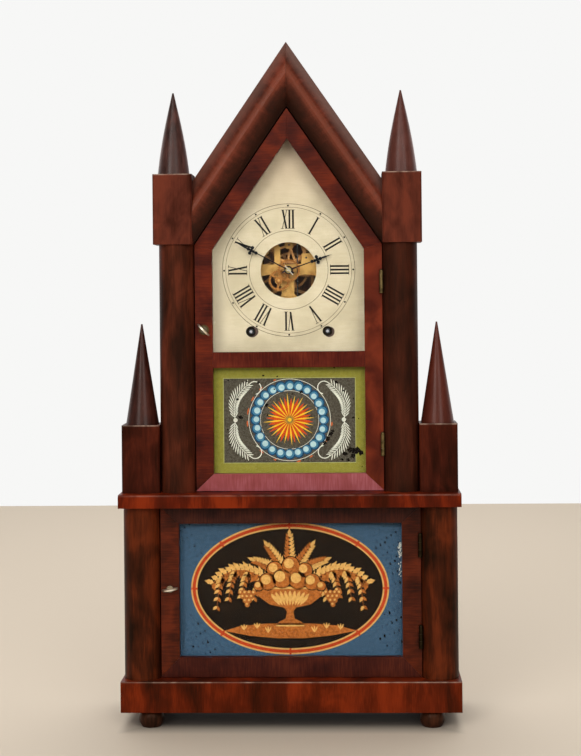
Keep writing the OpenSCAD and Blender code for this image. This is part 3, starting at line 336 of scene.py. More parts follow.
def brass(name, fresh, stained, rough, patches, tarnish, winding_shade=None, square=None, band=None):
    """Old brass: patches is how closely its brown stains follow each other, per metre. Round the
    two winding squares it is darkened with painted shade, as winding_shade says in stops over the
    first 15 mm out, and square is the shade of the squares' own steel. band is (axis, start, end,
    shade): between start and end, in mm, the metal has that shade."""
    material, tree, place = new_material(name)
    split = axes(tree, place)
    stains = noise(tree, place, patches, 4)
    rolled = noise(tree, stretched(tree, place, (20, 20, 0.7)), 1, 2)
    colour = mix(tree, remap(tree, stains, 0.45, 0.72, 0, tarnish), fresh, stained)
    if winding_shade:
        far = distance(tree, (calc(tree, "ABSOLUTE", split["X"]), 0, split["Z"]),
                       (WINDING[0], 0, WINDING[1]))
        if square:
            colour = mix(tree, calc(tree, "LESS_THAN", far, 2.6 * MM), colour, square)
        # painted shade round the two winding squares
        shade_share = shades(tree, remap(tree, far, 0, 15 * MM, 0, 1), winding_shade)
        colour = mix(tree, shade_share, colour, "#120d09")
    if band:
        axis, start, end, shade = band
        between = calc(tree, "COMPARE", split[axis], (start + end) / 2 * MM,
                       (end - start) / 2 * MM)
        colour = mix(tree, calc(tree, "MULTIPLY", between, 0.9), colour, shade)
    surface(tree, colour, remap(tree, rolled, 0.3, 0.7, rough - 0.06, rough + 0.08),
            {"Metallic": 1.0}, bump=(rolled, 0.08, 0.1))
    return material


# The lower door's hinges are drawn nearly black.
dress(brass("old hinge brass", "#75633f", "#32281a", 0.42, 220, 0.9,
            band=("Z", 0, 230, "#17110c")),
      "hinge_fixed_leaves", "upper_hinge_door_leaves", "lower_hinge_door_leaves")
dress(brass("tarnished escutcheon brass", "#55482c", "#231c10", 0.42, 240, 0.9),
      "latch_escutcheon")
# Thumbs have rubbed the discs of the latches bright; the collars behind them are tarnished.
dress(brass("upper latch brass", "#f2e8d2", "#b09c76", 0.4, 160, 0.5,
            band=("Y", -31.3, -20, "#3c311d")), "upper_latch")
dress(brass("lower latch brass", "#efe4d0", "#b09c76", 0.4, 160, 0.5,
            band=("Y", -39.3, -26, "#6b5f4a")), "lower_latch")

# ---- Glass in front of the dial ----
# A pane of old crown glass, clear and slightly green, puttied into the rebate of the door. The
# two painted tablets are panes of the same kind.


def clear_glass(name, tint, bend):
    """Old window glass. Lamps shine through it onto what it covers, and bend, its index, is low
    because the photograph shows next to no reflections of the room."""
    material, tree, place = new_material(name)
    bump = put(tree, "Bump", {"Height": noise(tree, place, 22, 1), "Strength": 0.05,
                              "Distance": 0.4 * MM})
    pane = put(tree, "BsdfPrincipled", {"Base Color": tint, "Roughness": 0.0, "IOR": bend,
                                        "Transmission Weight": 1.0,
                                        "Normal": bump.outputs[0]})
    open_to_lamps = put(tree, "BsdfTransparent", {"Color": tint})
    rays = put(tree, "LightPath")
    finish_material(tree, put(tree, "MixShader", {
        0: rays.outputs["Is Shadow Ray"], 1: pane.outputs[0], 2: open_to_lamps.outputs[0]}))
    return material


dress(clear_glass("crown glass", "#fafaf8", 1.25), "dial_glass")
dress(clear_glass("tablet glass", "#f8faf8", 1.12), "upper_tablet", "lower_tablet")

# ---- Painting on the upper tablet ----
# Painted in oil on the back of the glass, front colour first: a sunburst in a ring of beads
# between four feather sprays, on a grey panel inside a green border. Old paint has flaked.


def turned(point, at, turn):
    """A point in mm, turned clockwise by degrees and then moved."""
    c, s = math.cos(math.radians(turn)), math.sin(math.radians(turn))
    return at[0] + (point[0] * c + point[1] * s), at[1] + (point[1] * c - point[0] * s)


def shape(bm, points, at=(0, 0), turn=0):
    """One flat face from an outline in mm, turned clockwise by degrees and moved."""
    bm.faces.new([bm.verts.new((x * MM, 0, z * MM)) for x, z in
                  (turned(point, at, turn) for point in points)])


def rectangle(bm, left, low, right, high, at=(0, 0), turn=0):
    shape(bm, [(left, low), (right, low), (right, high), (left, high)], at, turn)


def standing(at, wide=1, high=1):
    """The matrix that stands a flat circle up at a place in mm and makes it an oval."""
    return Matrix.Translation((at[0] * MM, 0, at[1] * MM)) @ Matrix.Diagonal(
        (wide, 1, high, 1)) @ Matrix.Rotation(math.pi / 2, 4, "X")


def disc(bm, at, radius, sides=24, tall=1.0):
    """One flat round face, tall times as high as it is wide."""
    bmesh.ops.create_circle(bm, cap_ends=True, segments=sides, radius=radius * MM,
                            matrix=standing(at, high=tall))


def ring(bm, at, inner, outer, sides=96):
    """A flat band between two ovals, each given as half its width and half its height."""
    loops = []
    for wide, high in (inner, outer):
        made = bmesh.ops.create_circle(bm, segments=sides, radius=MM,
                                       matrix=standing(at, wide, high))
        loops += dict.fromkeys(e for v in made["verts"] for e in v.link_edges)
    bmesh.ops.bridge_loops(bm, edges=loops)


def stroke(bm, points, widths):
    """A brush stroke along points, in mm, as wide as widths says at each of them."""
    left, right = [], []
    for i, point in enumerate(points):
        run = Vector(points[min(i + 1, len(points) - 1)]) - Vector(points[max(i - 1, 0)])
        side = run.orthogonal().normalized() * widths[i] / 2
        left.append(Vector(point) + side)
        right.insert(0, Vector(point) - side)
    shape(bm, left + right)


def add(name, data):
    """Puts a new object in the scene."""
    made = bpy.data.objects.new(name, data)
    bpy.context.scene.collection.objects.link(made)
    return made


def solid(name, material, bm):
    """Puts the mesh in bm in the scene, in one finish."""
    mesh = bpy.data.meshes.new(name)
    bm.to_mesh(mesh)
    bm.free()
    mesh.materials.append(material)
    return add(name, mesh)


def piece(name, body, material, bm):
    """Makes a new piece of bm, in this finish, that rides on a body."""
    bmesh.ops.recalc_face_normals(bm, faces=bm.faces)
    made = solid(name, material, bm)
    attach(made, body)
    return made


def make(name, body, material, bm, front, thick=0.03):
    """Turns the flat faces in bm into a thin painted layer whose front lies at a depth."""
    drawn = bmesh.ops.extrude_face_region(bm, geom=list(bm.faces))
    bmesh.ops.translate(bm, vec=(0, thick * MM, 0),
                        verts=[v for v in drawn["geom"] if isinstance(v, bmesh.types.BMVert)])
    bmesh.ops.translate(bm, verts=bm.verts, vec=(0, front * MM, 0))
    return piece(name, body, material, bm)


def paint_upper(name, paint, bm, front, thick=0.03):
    """A layer of paint on the back of the upper tablet."""
    make(name, "upper_door", paint, bm, front, thick)


def oil_paint(name, colour, shade, rough=0.55, patches=260, share=0.5, glint=0.03):
    """Oil colour brushed thinly, its ground shade showing through in patches. Paint that lies
    against glass has no surface of its own that shines, so its glint is low."""
    material, tree, place = new_material(name)
    bare = remap(tree, noise(tree, place, patches, 3), 0.38, 0.66, 0, share)
    surface(tree, mix(tree, bare, colour, shade), rough, {"Specular IOR Level": glint})
    return material


white_paint = oil_paint("white tablet paint", "#d9d6c8", "#b9b5a6")
black_gap = oil_paint("bare glass, dark behind", "#17100c", "#0d0907")
TABLET = (0, 299.2)  # the middle of the tablet


def arc(centre, radius, start, end, steps):
    """Points along an arc; angles run clockwise from straight up."""
    return [turned((0, radius), centre, start + (end - start) * i / steps)
            for i in range(steps + 1)]


for name, edges, paint, front in (
        ("tablet_green_ground", (-79.4, 242.6, 79.4, 355.8),
         oil_paint("green tablet paint", "#8a8235", "#756f29"), -18.7),
        ("tablet_panel_line", (-66.4, 256.0, 66.2, 341.4),
         oil_paint("pale green paint", "#a5a26a", "#8f8c55"), -18.76),
        ("tablet_grey_panel", (-65.8, 256.6, 65.6, 340.8),
         oil_paint("grey tablet paint", "#544d42", "#352f26", patches=520, share=0.8), -18.82)):
    bm = bmesh.new()
    rectangle(bm, *edges)
    paint_upper(name, paint, bm, front)

bm = bmesh.new()
ring(bm, TABLET, (40.6, 40.6), (41.1, 41.1))
ring(bm, TABLET, (29.0, 29.0), (29.4, 29.4))
paint_upper("tablet_white_rings", white_paint, bm, -18.88)

bm = bmesh.new()
for i in range(20):
    shape(bm, [(0, 3), (2.2, 12 + 2 * (i % 3)), (0.4, 22 + 2 * (i % 2)), (-1.8, 12)], TABLET,
          18 * i + 4)
paint_upper("tablet_star_red", oil_paint("red tablet paint", "#c2461a", "#9a3012"), bm, -18.88)
bm = bmesh.new()
for i in range(20):
    reach = 25.6 + 1.6 * math.sin(2.4 * i)
    shape(bm, [(0, 1), (0.85, 15), (0, reach), (-0.85, 15)], TABLET, 18 * i + 13)
disc(bm, TABLET, 2.0)
paint_upper("tablet_star_yellow", oil_paint("yellow tablet paint", "#e3b52a", "#cc9718"), bm,
            -18.94)

# Each bead is a dark ball, a lighter body laid off its middle and a pale light on that.
dark, body, light = bmesh.new(), bmesh.new(), bmesh.new()
for i in range(24):
    around, out = 15 * i, 34.6 + 0.5 * math.sin(i)
    size = 1 + 0.06 * math.sin(i * 1.7)
    disc(dark, turned((0, out), TABLET, around), 5.3 * size)
    disc(body, turned((0, out - 0.4), TABLET, around + 0.5), 4.3 * size)
    disc(light, turned((0, out - 0.9), TABLET, around + 1.3), 2.9 * size, sides=18)
paint_upper("tablet_beads", oil_paint("blue tablet paint", "#173f5f", "#0f2c46"), dark, -18.9)
paint_upper("tablet_bead_bodies", oil_paint("mid blue tablet paint", "#3f7390", "#2b5876"), body,
            -18.95)
paint_upper("tablet_bead_lights", oil_paint("pale blue tablet paint", "#adc5c7", "#82a4ac"),
            light, -19.0)

# orange flecks outside the outer ring: the angle of each fleck's middle, and its length
bm = bmesh.new()
for at, long in ((200, 6), (222, 7), (265, 8), (282, 9), (300, 7), (318, 6), (340, 4), (96, 6),
                 (118, 7), (150, 5), (168, 6)):
    stroke(bm, arc(TABLET, 42.4, at - long / 2, at + long / 2, 4), [0.4, 1.3, 1.6, 1.2, 0.4])
paint_upper("tablet_orange_flecks", oil_paint("orange tablet paint", "#c4602e", "#8e4424"), bm,
            -18.9)


def barb(bm, at, turn, long, wide):
    """One feather barb or leaf, pointed at both ends, lying up from at before it is turned."""
    shape(bm, [(0, 0), (wide * 0.35, long * 0.3), (wide * 0.5, long * 0.62),
               (wide * 0.22, long * 0.93), (0, long), (-wide * 0.3, long * 0.85),
               (-wide * 0.42, long * 0.5), (-wide * 0.2, long * 0.15)], at, turn)


bm = bmesh.new()
for side in (-1, 1):
    for up in (-1, 1):
        # a spray leaves the white dot at the panel's middle height and ends in a curl
        stem = [(side * (54.2 + 2.6 * math.sin(t * 2.8) - 15 * t ** 2.6),
                 TABLET[1] + up * 36.5 * t) for t in [k / 15 for k in range(16)]]
        stroke(bm, stem, [0.85 - 0.02 * k for k in range(16)])
        for k in range(1, 15):
            (x0, z0), (x1, z1) = stem[k - 1], stem[k + 1]
            ahead = math.degrees(math.atan2(x1 - x0, z1 - z0))
            long = 4.6 + 6.2 * math.sin(math.pi * (k + 1) / 17)
            for way in (36, -36):
                barb(bm, stem[k], ahead + way, long, 1.15)
        x, z = stem[-1]
        curl = arc((x - side * 5.4, z - up * 4.4), 6.4, side * (60 if up > 0 else 120),
                   side * (-170 if up > 0 else 350), 14)
        stroke(bm, curl, [0.9] * 15)
    disc(bm, (side * 54.2, TABLET[1]), 2.1)
paint_upper("tablet_feathers", white_paint, bm, -19.02, 0.02)

# where the paint is lost: across, up and radius
bm = bmesh.new()
losses = [(-49, 302, 2.4), (-52, 320, 1.4), (-43, 338, 1.2), (-31, 336.5, 1.6), (-23, 314, 2.4),
          (-22, 304, 1.1), (-61, 339, 1), (-62, 290, 0.9), (-15, 330, 0.9), (12, 327, 1.6),
          (3, 325, 0.9), (20, 302, 0.9), (47, 336.5, 1.9), (54, 328, 1.1), (64, 320, 0.8),
          (63.5, 301, 1.2), (41, 285, 2.6), (38, 280, 2.9), (35, 276, 2.2), (43, 288, 1.7),
          (55, 265, 2.4), (61, 269, 3.4), (66, 268, 4.2), (63, 263, 3), (71, 266, 3.2),
          (58, 259, 2), (52, 259.4, 1.4), (-60, 275, 0.8), (-13, 258.8, 0.9), (13, 259.4, 1.1),
          (69, 300, 0.8), (72, 252, 0.7), (45, 351, 0.8), (-26, 343.6, 1.1), (-12, 342.6, 0.9)]
for n, (x, z, r) in enumerate(losses):
    shape(bm, [(r * (1 + 0.32 * math.sin(5 * k + n)) * math.cos(k * math.pi / 5),
                r * (0.8 + 0.3 * math.cos(3 * k + 2 * n)) * math.sin(k * math.pi / 5))
               for k in range(10)], (x, z))
paint_upper("tablet_losses", black_gap, bm, -19.04)

# ---- Painting on the lower tablet ----
# A black oval in a cream and red band on a blue ground. In the oval stands a footed bowl of
# fruit between two leafy boughs, stencilled in bronze powders as on many clocks of the time.


def paint_lower(name, paint, bm, front):
    """A layer of paint on the back of the lower tablet."""
    make(name, "lower_door", paint, bm, front)


band_red = oil_paint("red band paint", "#b23a1a", "#8c2a12")
field_black = oil_paint("black field paint", "#17100b", "#24170d", patches=90)
bronze = oil_paint("orange bronze powder", "#b0642a", "#743a17", patches=420, share=0.7)
gold = oil_paint("pale bronze powder", "#d9a65e", "#b07430", patches=420)
OVAL = (-1.0, 132.3)  # the middle of the oval

bm = bmesh.new()
rectangle(bm, -114, 62.4, 114, 202.2)
paint_lower("lower_blue_ground", oil_paint("blue ground paint", "#3b546b", "#2c3d4f",
                                           patches=300, share=0.6), bm, -26.7)
bm = bmesh.new()
disc(bm, OVAL, 98.5, 128, 65.6 / 98.5)
paint_lower("lower_cream_band", oil_paint("cream band paint", "#cb9c5a", "#b07f40"), bm, -26.76)
bm = bmesh.new()
ring(bm, OVAL, (93.8, 60.9), (96.9, 64.0), 128)
paint_lower("lower_red_line", band_red, bm, -26.82)
bm = bmesh.new()
disc(bm, OVAL, 92.2, 128, 59.3 / 92.2)
paint_lower("lower_black_field", field_black, bm, -26.82)


def leafy(bm, at, turn, long, wide):
    """A leaf with a notched edge, as a stencil leaves it."""
    shape(bm, [(0, 0), (wide * 0.5, long * 0.25), (wide * 0.36, long * 0.38),
               (wide * 0.5, long * 0.55), (wide * 0.26, long * 0.7), (0, long),
               (-wide * 0.26, long * 0.7), (-wide * 0.5, long * 0.55),
               (-wide * 0.36, long * 0.38), (-wide * 0.5, long * 0.25)], at, turn)


# Each bough has four hanging twigs: the place along the bough, the length and the drop of each.
stems, dark_leaves, light_leaves = bmesh.new(), bmesh.new(), bmesh.new()
for side in (-1, 1):
    bough = [(OVAL[0] + side * (14 + 62 * t), OVAL[1] - 2 + 74 * t - 66 * t * t)
             for t in [k / 14 for k in range(15)]]
    stroke(stems, bough, [2.0 - 0.1 * k for k in range(15)])
    for k in range(2, 15):
        for way, bm in ((50, dark_leaves), (-62, light_leaves)):
            long = 12 - 0.3 * k + 1.5 * math.sin(k * 2.3 + way)
            leafy(bm, bough[k], side * (62 + 5.5 * k + way), long, 5.2)
    for k, long, drop in ((3, 24, 30), (6, 22, 38), (9, 20, 44), (12, 16, 50)):
        x, z = bough[k]
        twig = [(x + side * long * 0.35 * t, z - drop * t * t * 0.55 - 3 * t)
                for t in [m / 6 for m in range(7)]]
        stroke(stems, twig, [1.0 - 0.1 * m for m in range(7)])
        for m in range(1, 7):
            for way, bm in ((38, light_leaves), (-38, dark_leaves)):
                leafy(bm, twig[m], 180 - side * 12 + way, 7.6 - 0.3 * m, 3.2)
# a fan of five leafy sprays stands up behind the fruit
for spread in (-58, -30, 0, 30, 58):
    root = (OVAL[0] + 0.25 * spread, OVAL[1] + 24 - 0.09 * abs(spread))
    reach = 27 - 0.1 * abs(spread)
    for k in range(1, 8):
        bend = spread + 0.02 * spread * k
        at = turned((0, reach * k / 7), root, bend)
        for way, bm in ((46, light_leaves), (-46, dark_leaves)):
            leafy(bm, at, bend + way, 9.5 - 0.6 * k, 3.4)
    leafy(light_leaves, at, bend, 9, 3.6)
paint_lower("bough_stems", bronze, stems, -26.88)
paint_lower("bough_leaves", bronze, dark_leaves, -26.92)
paint_lower("bough_light_leaves", gold, light_leaves, -26.96)

# the bowl and the fruit are placed from a point on the ground under the bowl's foot
BOWL = (OVAL[0], OVAL[1] - 50)
bm = bmesh.new()
shape(bm, [(-66, 8), (-40, 3), (-12, 0.5), (14, 0.5), (42, 3.4), (66, 8), (48, 13), (24, 15),
           (0, 15.6), (-26, 15), (-50, 12.6)], BOWL)
shape(bm, [(-15, 12), (15, 12), (11, 17), (4.5, 20), (3.2, 27), (6, 31), (20, 34), (31, 42),
           (34, 50), (-34, 50), (-31, 42), (-20, 34), (-6, 31), (-3.2, 27), (-4.5, 20),
           (-11, 17)], BOWL)
paint_lower("bowl_and_ground", bronze, bm, -26.92)
bm = bmesh.new()
for k in range(-4, 5):
    barb(bm, (BOWL[0] + 2.4 * k, BOWL[1] + 33), 9.5 * k, 15, 4.2)
for half, up, crown, widths in ((35, 50, 50.6, [1.6, 2.4, 1.6]), (14, 13, 13, [1.2, 1.8, 1.2])):
    stroke(bm, [(BOWL[0] + x, BOWL[1] + z) for x, z in ((-half, up), (0, crown), (half, up))],
           widths)
for x, z in ((-46, 8.4), (-33, 10), (-22, 6), (24, 6.4), (36, 10), (50, 9)):
    for k in (-28, 0, 28):
        barb(bm, (BOWL[0] + x, BOWL[1] + z), k, 6.5, 1.6)
paint_lower("bowl_lights", gold, bm, -26.98)

outlines, fruit, lights = bmesh.new(), bmesh.new(), bmesh.new()
for x, z, r in ((-22, 57, 8.2), (-8, 60, 9.4), (8, 58.4, 8.8), (22, 56.6, 7.8), (-15, 69, 7.6),
                (1, 73, 8.4), (15, 68, 7.2), (-31, 52.6, 4.6), (31, 52.4, 4.6)):
    x, z = BOWL[0] + x, BOWL[1] + z
    disc(outlines, (x, z), r + 0.9, 28)
    disc(fruit, (x, z), r, 28)
    disc(lights, (x - r * 0.22, z + r * 0.22), r * 0.58)
# a bunch of grapes hangs over each side of the bowl, four in its top row
for side in (-1, 1):
    for row in range(4):
        for k in range(4 - row):
            x, z = BOWL[0] + side * (36 + 4.4 * k + 2.2 * row), BOWL[1] + 46 - 4 * row
            disc(fruit, (x, z), 2.5, 16)
            disc(lights, (x - 0.5, z + 0.6), 1.2, 12)
paint_lower("fruit_outlines", field_black, outlines, -26.98)
paint_lower("fruit", bronze, fruit, -27.02)
paint_lower("fruit_lights", gold, lights, -27.06)

# eight red ticks cross the band, each at a right angle to it
bm = bmesh.new()
for k in range(8):
    s, c = math.sin(math.radians(45 * k)), math.cos(math.radians(45 * k))
    rectangle(bm, -1, -3.2, 1, 3.2, (OVAL[0] + 95.3 * s, OVAL[1] + 62.5 * c),
              math.degrees(math.atan2(s / 95.3, c / 62.5)))
paint_lower("band_ticks", band_red, bm, -26.9)
# dark flecks in five groups near the corners, outside the band
bm = bmesh.new()
for n in range(190):
    u, v = (n * 0.61803) % 1, (n * 0.75488) % 1
    middle = ((-99, 178), (95, 182), (-88, 84), (97, 158), (101, 96))[n % 5]
    x, z = middle[0] + 13 * (u - 0.5) * 2, middle[1] + 22 * (v - 0.5) * 2
    if (((x - OVAL[0]) / 101) ** 2 + ((z - OVAL[1]) / 68) ** 2 > 1 and abs(x) < 110
            and 67 < z < 198):
        disc(bm, (x, z), 0.35 + 0.85 * ((n * 0.37) % 1) ** 3, 7, 0.6 + (n % 5) / 5)
paint_lower("lower_dark_flecks", black_gap, bm, -26.86)
# paint lost in bright specks along the right edge
bm = bmesh.new()
for n in range(30):
    u, v = (n * 0.61803) % 1, (n * 0.32471) % 1
    shape(bm, [(0, 0), (0.4 + 0.5 * u, 0.8), (0.2, 1.6 + 2 * v), (-0.5, 1)],
          (108.4 + 0.9 * math.sin(9 * n), 138 + 58 * v - 20 * (n % 3 == 0)), 30 * math.sin(n))
paint_lower("lower_bright_losses", white_paint, bm, -26.86)

# ---- Putty ----
# Whiting and linseed oil, pressed into the rebates behind the three panes to hold them. It has
# gone hard and brown.
old_putty = oil_paint("old brown putty", "#6e563a", "#45331f", rough=0.8, patches=140,
                      share=0.8, glint=0.3)


def pane(half, low, high, e, apex=None):
    """The outline of a pane's opening, e mm larger all round, pointed if it has an apex."""
    top = [(half + e, high + e), (-half - e, high + e)]
    if apex:
        top = [(half + e, high + 0.31 * e), (0, apex + 1.77 * e), (-half - e, high + 0.31 * e)]
    return [(-half - e, low - e), (half + e, low - e)] + top


for name, body, (half, low, high, apex), front, back in (
        ("dial_glass_putty", "upper_door", (75.6, 367.6, 469.5, 579.9), -19.0, -17.4),
        ("upper_tablet_putty", "upper_door", (75.6, 246.4, 352, None), -18.5, -17.4),
        ("lower_tablet_putty", "lower_door", (110.3, 66.2, 198.4, None), -26.5, -23.6)):
    inner, outer = (pane(half, low, high, e, apex) for e in (0.8, 3.8))
    bm = bmesh.new()
    for i in range(len(inner)):
        j = (i + 1) % len(inner)
        shape(bm, [inner[i], inner[j], outer[j], outer[i]])
    bmesh.ops.remove_doubles(bm, verts=bm.verts, dist=0.01 * MM)
    make(name, body, old_putty, bm, front, back - front)

# ---- Dial ----
# A zinc plate painted cream in oils and lettered in black. The ground has yellowed and greyed. Its
# left edge is painted paler as painted light, against the shade that the door frame casts there,
# and there is a ragged brown patch at each of the two winding holes.
material, tree, place = new_material("yellowed dial paint")
x, y, z = axes(tree, place)
mottle = noise(tree, place, 38, 4)
brushed = noise(tree, stretched(tree, place, (16, 5, 1.1)), 1, 2)
colour = shades(tree, mottle, [(0.35, "#c1b495"), (0.5, "#ccbf9f"), (0.68, "#d7caac")])
colour = mix(tree, remap(tree, z, 0.5, 0.58, 0, 0.75), colour, "#d0b396")
colour = mix(tree, remap(tree, brushed, 0.4, 0.7, 0, 0.22), colour, "#bba685")
# painted light: the left edge is paler, against the shade of the door frame there
colour = mix(tree, remap(tree, x, -0.086, -0.055, 0.75, 0), colour, "#f2e4c6")
# a ragged brown patch just right of each winding hole
for side in (-1, 1):
    far = distance(tree, (x, y, z), (side * WINDING[0] + 1.5, -9, WINDING[1] - 0.4))
    ragged = calc(tree, "SUBTRACT", far, calc(tree, "MULTIPLY", mottle, 0.006))
    colour = mix(tree, remap(tree, ragged, 2.2 * MM, 2.7 * MM, 1, 0), colour, "#4a2f22")
surface(tree, colour, 0.5, bump=(brushed, 0.05, 0.2))
dress(material, "dial_plate")

dial_black = oil_paint("dial lettering", "#15110f", "#2c2420", patches=500, share=0.3)
DIAL = (0, 449)  # the middle of the dial
bm = bmesh.new()
for radius, wide in ((66.7, 0.42), (63.4, 0.3), (39.7, 0.38)):
    ring(bm, DIAL, (radius - wide / 2,) * 2, (radius + wide / 2,) * 2, 160)
for hour in range(12):
    disc(bm, turned((0, 65.0), DIAL, 30 * hour), 0.95, sides=16)
make("dial_rings", "case", dial_black, bm, -9.07, 0.06)

# The numerals' foot and top, from the dial's middle. Then the strokes of each letter: how far
# across from its own middle each has its top and its foot, and how wide it is; and the letter's
# width and half the length of its serifs.
FOOT, TOP = 42.0, 60.6
GLYPHS = {"I": ([(0, 0, 1.8)], 3.6, 1.75),
          "V": ([(-2.1, 0.3, 1.8), (2.3, 0.0, 0.65)], 6.0, 1.5),
          "X": ([(-1.8, 1.8, 1.8), (2.3, -2.3, 0.65)], 6.2, 1.5)}
bm = bmesh.new()
for hour, numeral in enumerate(
        ["XII", "I", "II", "III", "IIII", "V", "VI", "VII", "VIII", "IX", "X", "XI"]):
    across = -sum(GLYPHS[letter][1] for letter in numeral) / 2
    for letter in numeral:
        strokes, advance, serif = GLYPHS[letter]
        middle = across + advance / 2
        across += advance
        for top, foot, wide in strokes:
            shape(bm, [(middle + foot - wide / 2, FOOT), (middle + foot + wide / 2, FOOT),
                       (middle + top + wide / 2, TOP), (middle + top - wide / 2, TOP)],
                  DIAL, 30 * hour)
            for x, up in [(top, TOP)] if letter == "V" else [(top, TOP), (foot, FOOT)]:
                rectangle(bm, middle + x - serif, up - 0.27, middle + x + serif, up + 0.27,
                          DIAL, 30 * hour)
make("dial_numerals", "case", dial_black, bm, -9.08, 0.05)

# ---- Hands ----
# Sawn from thin steel sheet, filed slender and blued, then darkened with age. Each has a bead and
# a cross of four lobes on its shaft.


def steel(name, colour, shade, rough, metal=1.0, patches=180):
    """Iron or steel: patches is how closely its dark spots follow each other, per metre."""
    material, tree, place = new_material(name)
    spots = noise(tree, place, patches, 4)
    surface(tree, mix(tree, remap(tree, spots, 0.4, 0.68, 0, 0.8), colour, shade),
            remap(tree, spots, 0.35, 0.65, rough - 0.06, rough + 0.12), {"Metallic": metal})
    return material


blued = steel("blued steel hands", "#26282d", "#15161a", 0.32)


def hand(name, body, node, long, cross, turn, front, hub, bore):
    """A hand long mm from the arbor to its point, the middle of its cross at cross. hub and bore
    are the radii of its round end and of the hole in that, 0 where the washer covers it."""
    bm = bmesh.new()
    for outline in (
            [(-0.6, hub - 0.4), (0.6, hub - 0.4), (0.5, cross - 6.4), (-0.5, cross - 6.4)],
            [(-0.9, -hub - 3), (0.9, -hub - 3), (0.7, 0.4 - hub), (-0.7, 0.4 - hub)],
            [(-0.5, cross - 5), (0.5, cross - 5), (1, cross), (-1, cross)],
            [(-0.7, cross + 3), (0.7, cross + 3), (1, cross + 7), (0, long), (-1, cross + 7)]):
        shape(bm, outline, DIAL, turn)
    for x, up, radius in ((0, -5.6, 1.7), (0, 0, 1.8), (-3, 0, 1.7), (3, 0, 1.7), (0, 3.2, 1.7),
                          (0, -2.6, 1.5)):
        disc(bm, turned((x, cross + up), DIAL, turn), radius)
    if bore:
        ring(bm, DIAL, (bore, bore), (hub, hub), 48)
    else:
        disc(bm, DIAL, hub, sides=48)
    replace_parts(make(name, body, blued, bm, front, 0.8), node)


hand("minute_hand_filed", "minute_motion", "minute_hand", 61.5, 42.4, 298.3, -14, 3.2, 0)
hand("hour_hand_filed", "hour_motion", "hour_hand", 46.6, 30.8, 70.5, -12.4, 4.2, 2.15)


def bar(bm, start, end, radius, far_radius=None, sides=16):
    """A round bar between two points in mm, which may taper."""
    a, b = Vector(start) * MM, Vector(end) * MM
    turn = (b - a).to_track_quat("Z", "Y").to_matrix().to_4x4()
    bmesh.ops.create_cone(bm, cap_ends=True, segments=sides, radius1=radius * MM,
                          radius2=(far_radius or radius) * MM, depth=(b - a).length,
                          matrix=Matrix.Translation((a + b) / 2) @ turn)


# A dished brass washer and a tapered pin, filed bright, hold the hands on the end of the arbor,
# and four round brass screws, made in the same way, hold the dial to its blocks.
bm = bmesh.new()
for x in (-81, 81):
    for z in (373, 455):
        bar(bm, (x, -8.9, z), (x, -9.5, z), 2.2)
        bar(bm, (x, -9.5, z), (x, -10.2, z), 2.2, 1.2)
piece("dial_screws", "case", brass("dial screw brass", "#a98f55", "#5f4c2c", 0.35, 300, 0.8),
      bm)
bm = bmesh.new()
bar(bm, (0, -14.0, DIAL[1]), (0, -14.55, DIAL[1]), 3.0, 2.3, 32)
piece("hand_washer", "minute_motion",
      brass("hand washer brass", "#ddc88e", "#9c8148", 0.28, 300, 0.6), bm)
bm = bmesh.new()
bar(bm, (-3.4, -14.9, DIAL[1] + 4.4), (4.6, -14.9, DIAL[1] - 5), 0.75, 0.45)
bar(bm, (0, -13.9, DIAL[1]), (0, -15.0, DIAL[1]), 1.2)
piece("hand_pin", "minute_motion", steel("filed taper pin", "#e4e0d2", "#b4ad9c", 0.3),
      bm)

# ---- Movement ----
# Plates, wheels and bushings are rolled brass, stamped and lacquered gold. Arbors, trundles,
# the verge and its wires are steel. Nothing here is finer than what the open dial shows.


def wheelwork(name, at, shaft, trundles):
    """Brass wheel on a steel arbor, of radius shaft, at (across, up) from the dial's centre.
    trundles is (radius, front, back) of the steel pins of its lantern pinion, in mm."""
    material, tree, place = new_material(name)
    x, y, z = axes(tree, place)
    radius, front, back = trundles
    far = distance(tree, (x, 0, z), (at[0], 0, DIAL[1] + at[1]))
    pins = calc(tree, "MULTIPLY",
                calc(tree, "COMPARE", y, (front + back) / 2 * MM, (back - front) / 2 * MM),
                calc(tree, "COMPARE", far, radius * MM, 0.5 * MM))
    steely = calc(tree, "MAXIMUM", calc(tree, "LESS_THAN", far, (shaft + 0.1) * MM), pins)
    stains = noise(tree, place, 140, 4)
    gilt = mix(tree, remap(tree, stains, 0.42, 0.7, 0, 0.7), "#dfa460", "#8a5830")
    surface(tree, mix(tree, steely, gilt, "#5b5c5e"), remap(tree, stains, 0.35, 0.65, 0.4, 0.55),
            {"Metallic": calc(tree, "MULTIPLY_ADD", steely, 0.4, 0.6)})
    return material
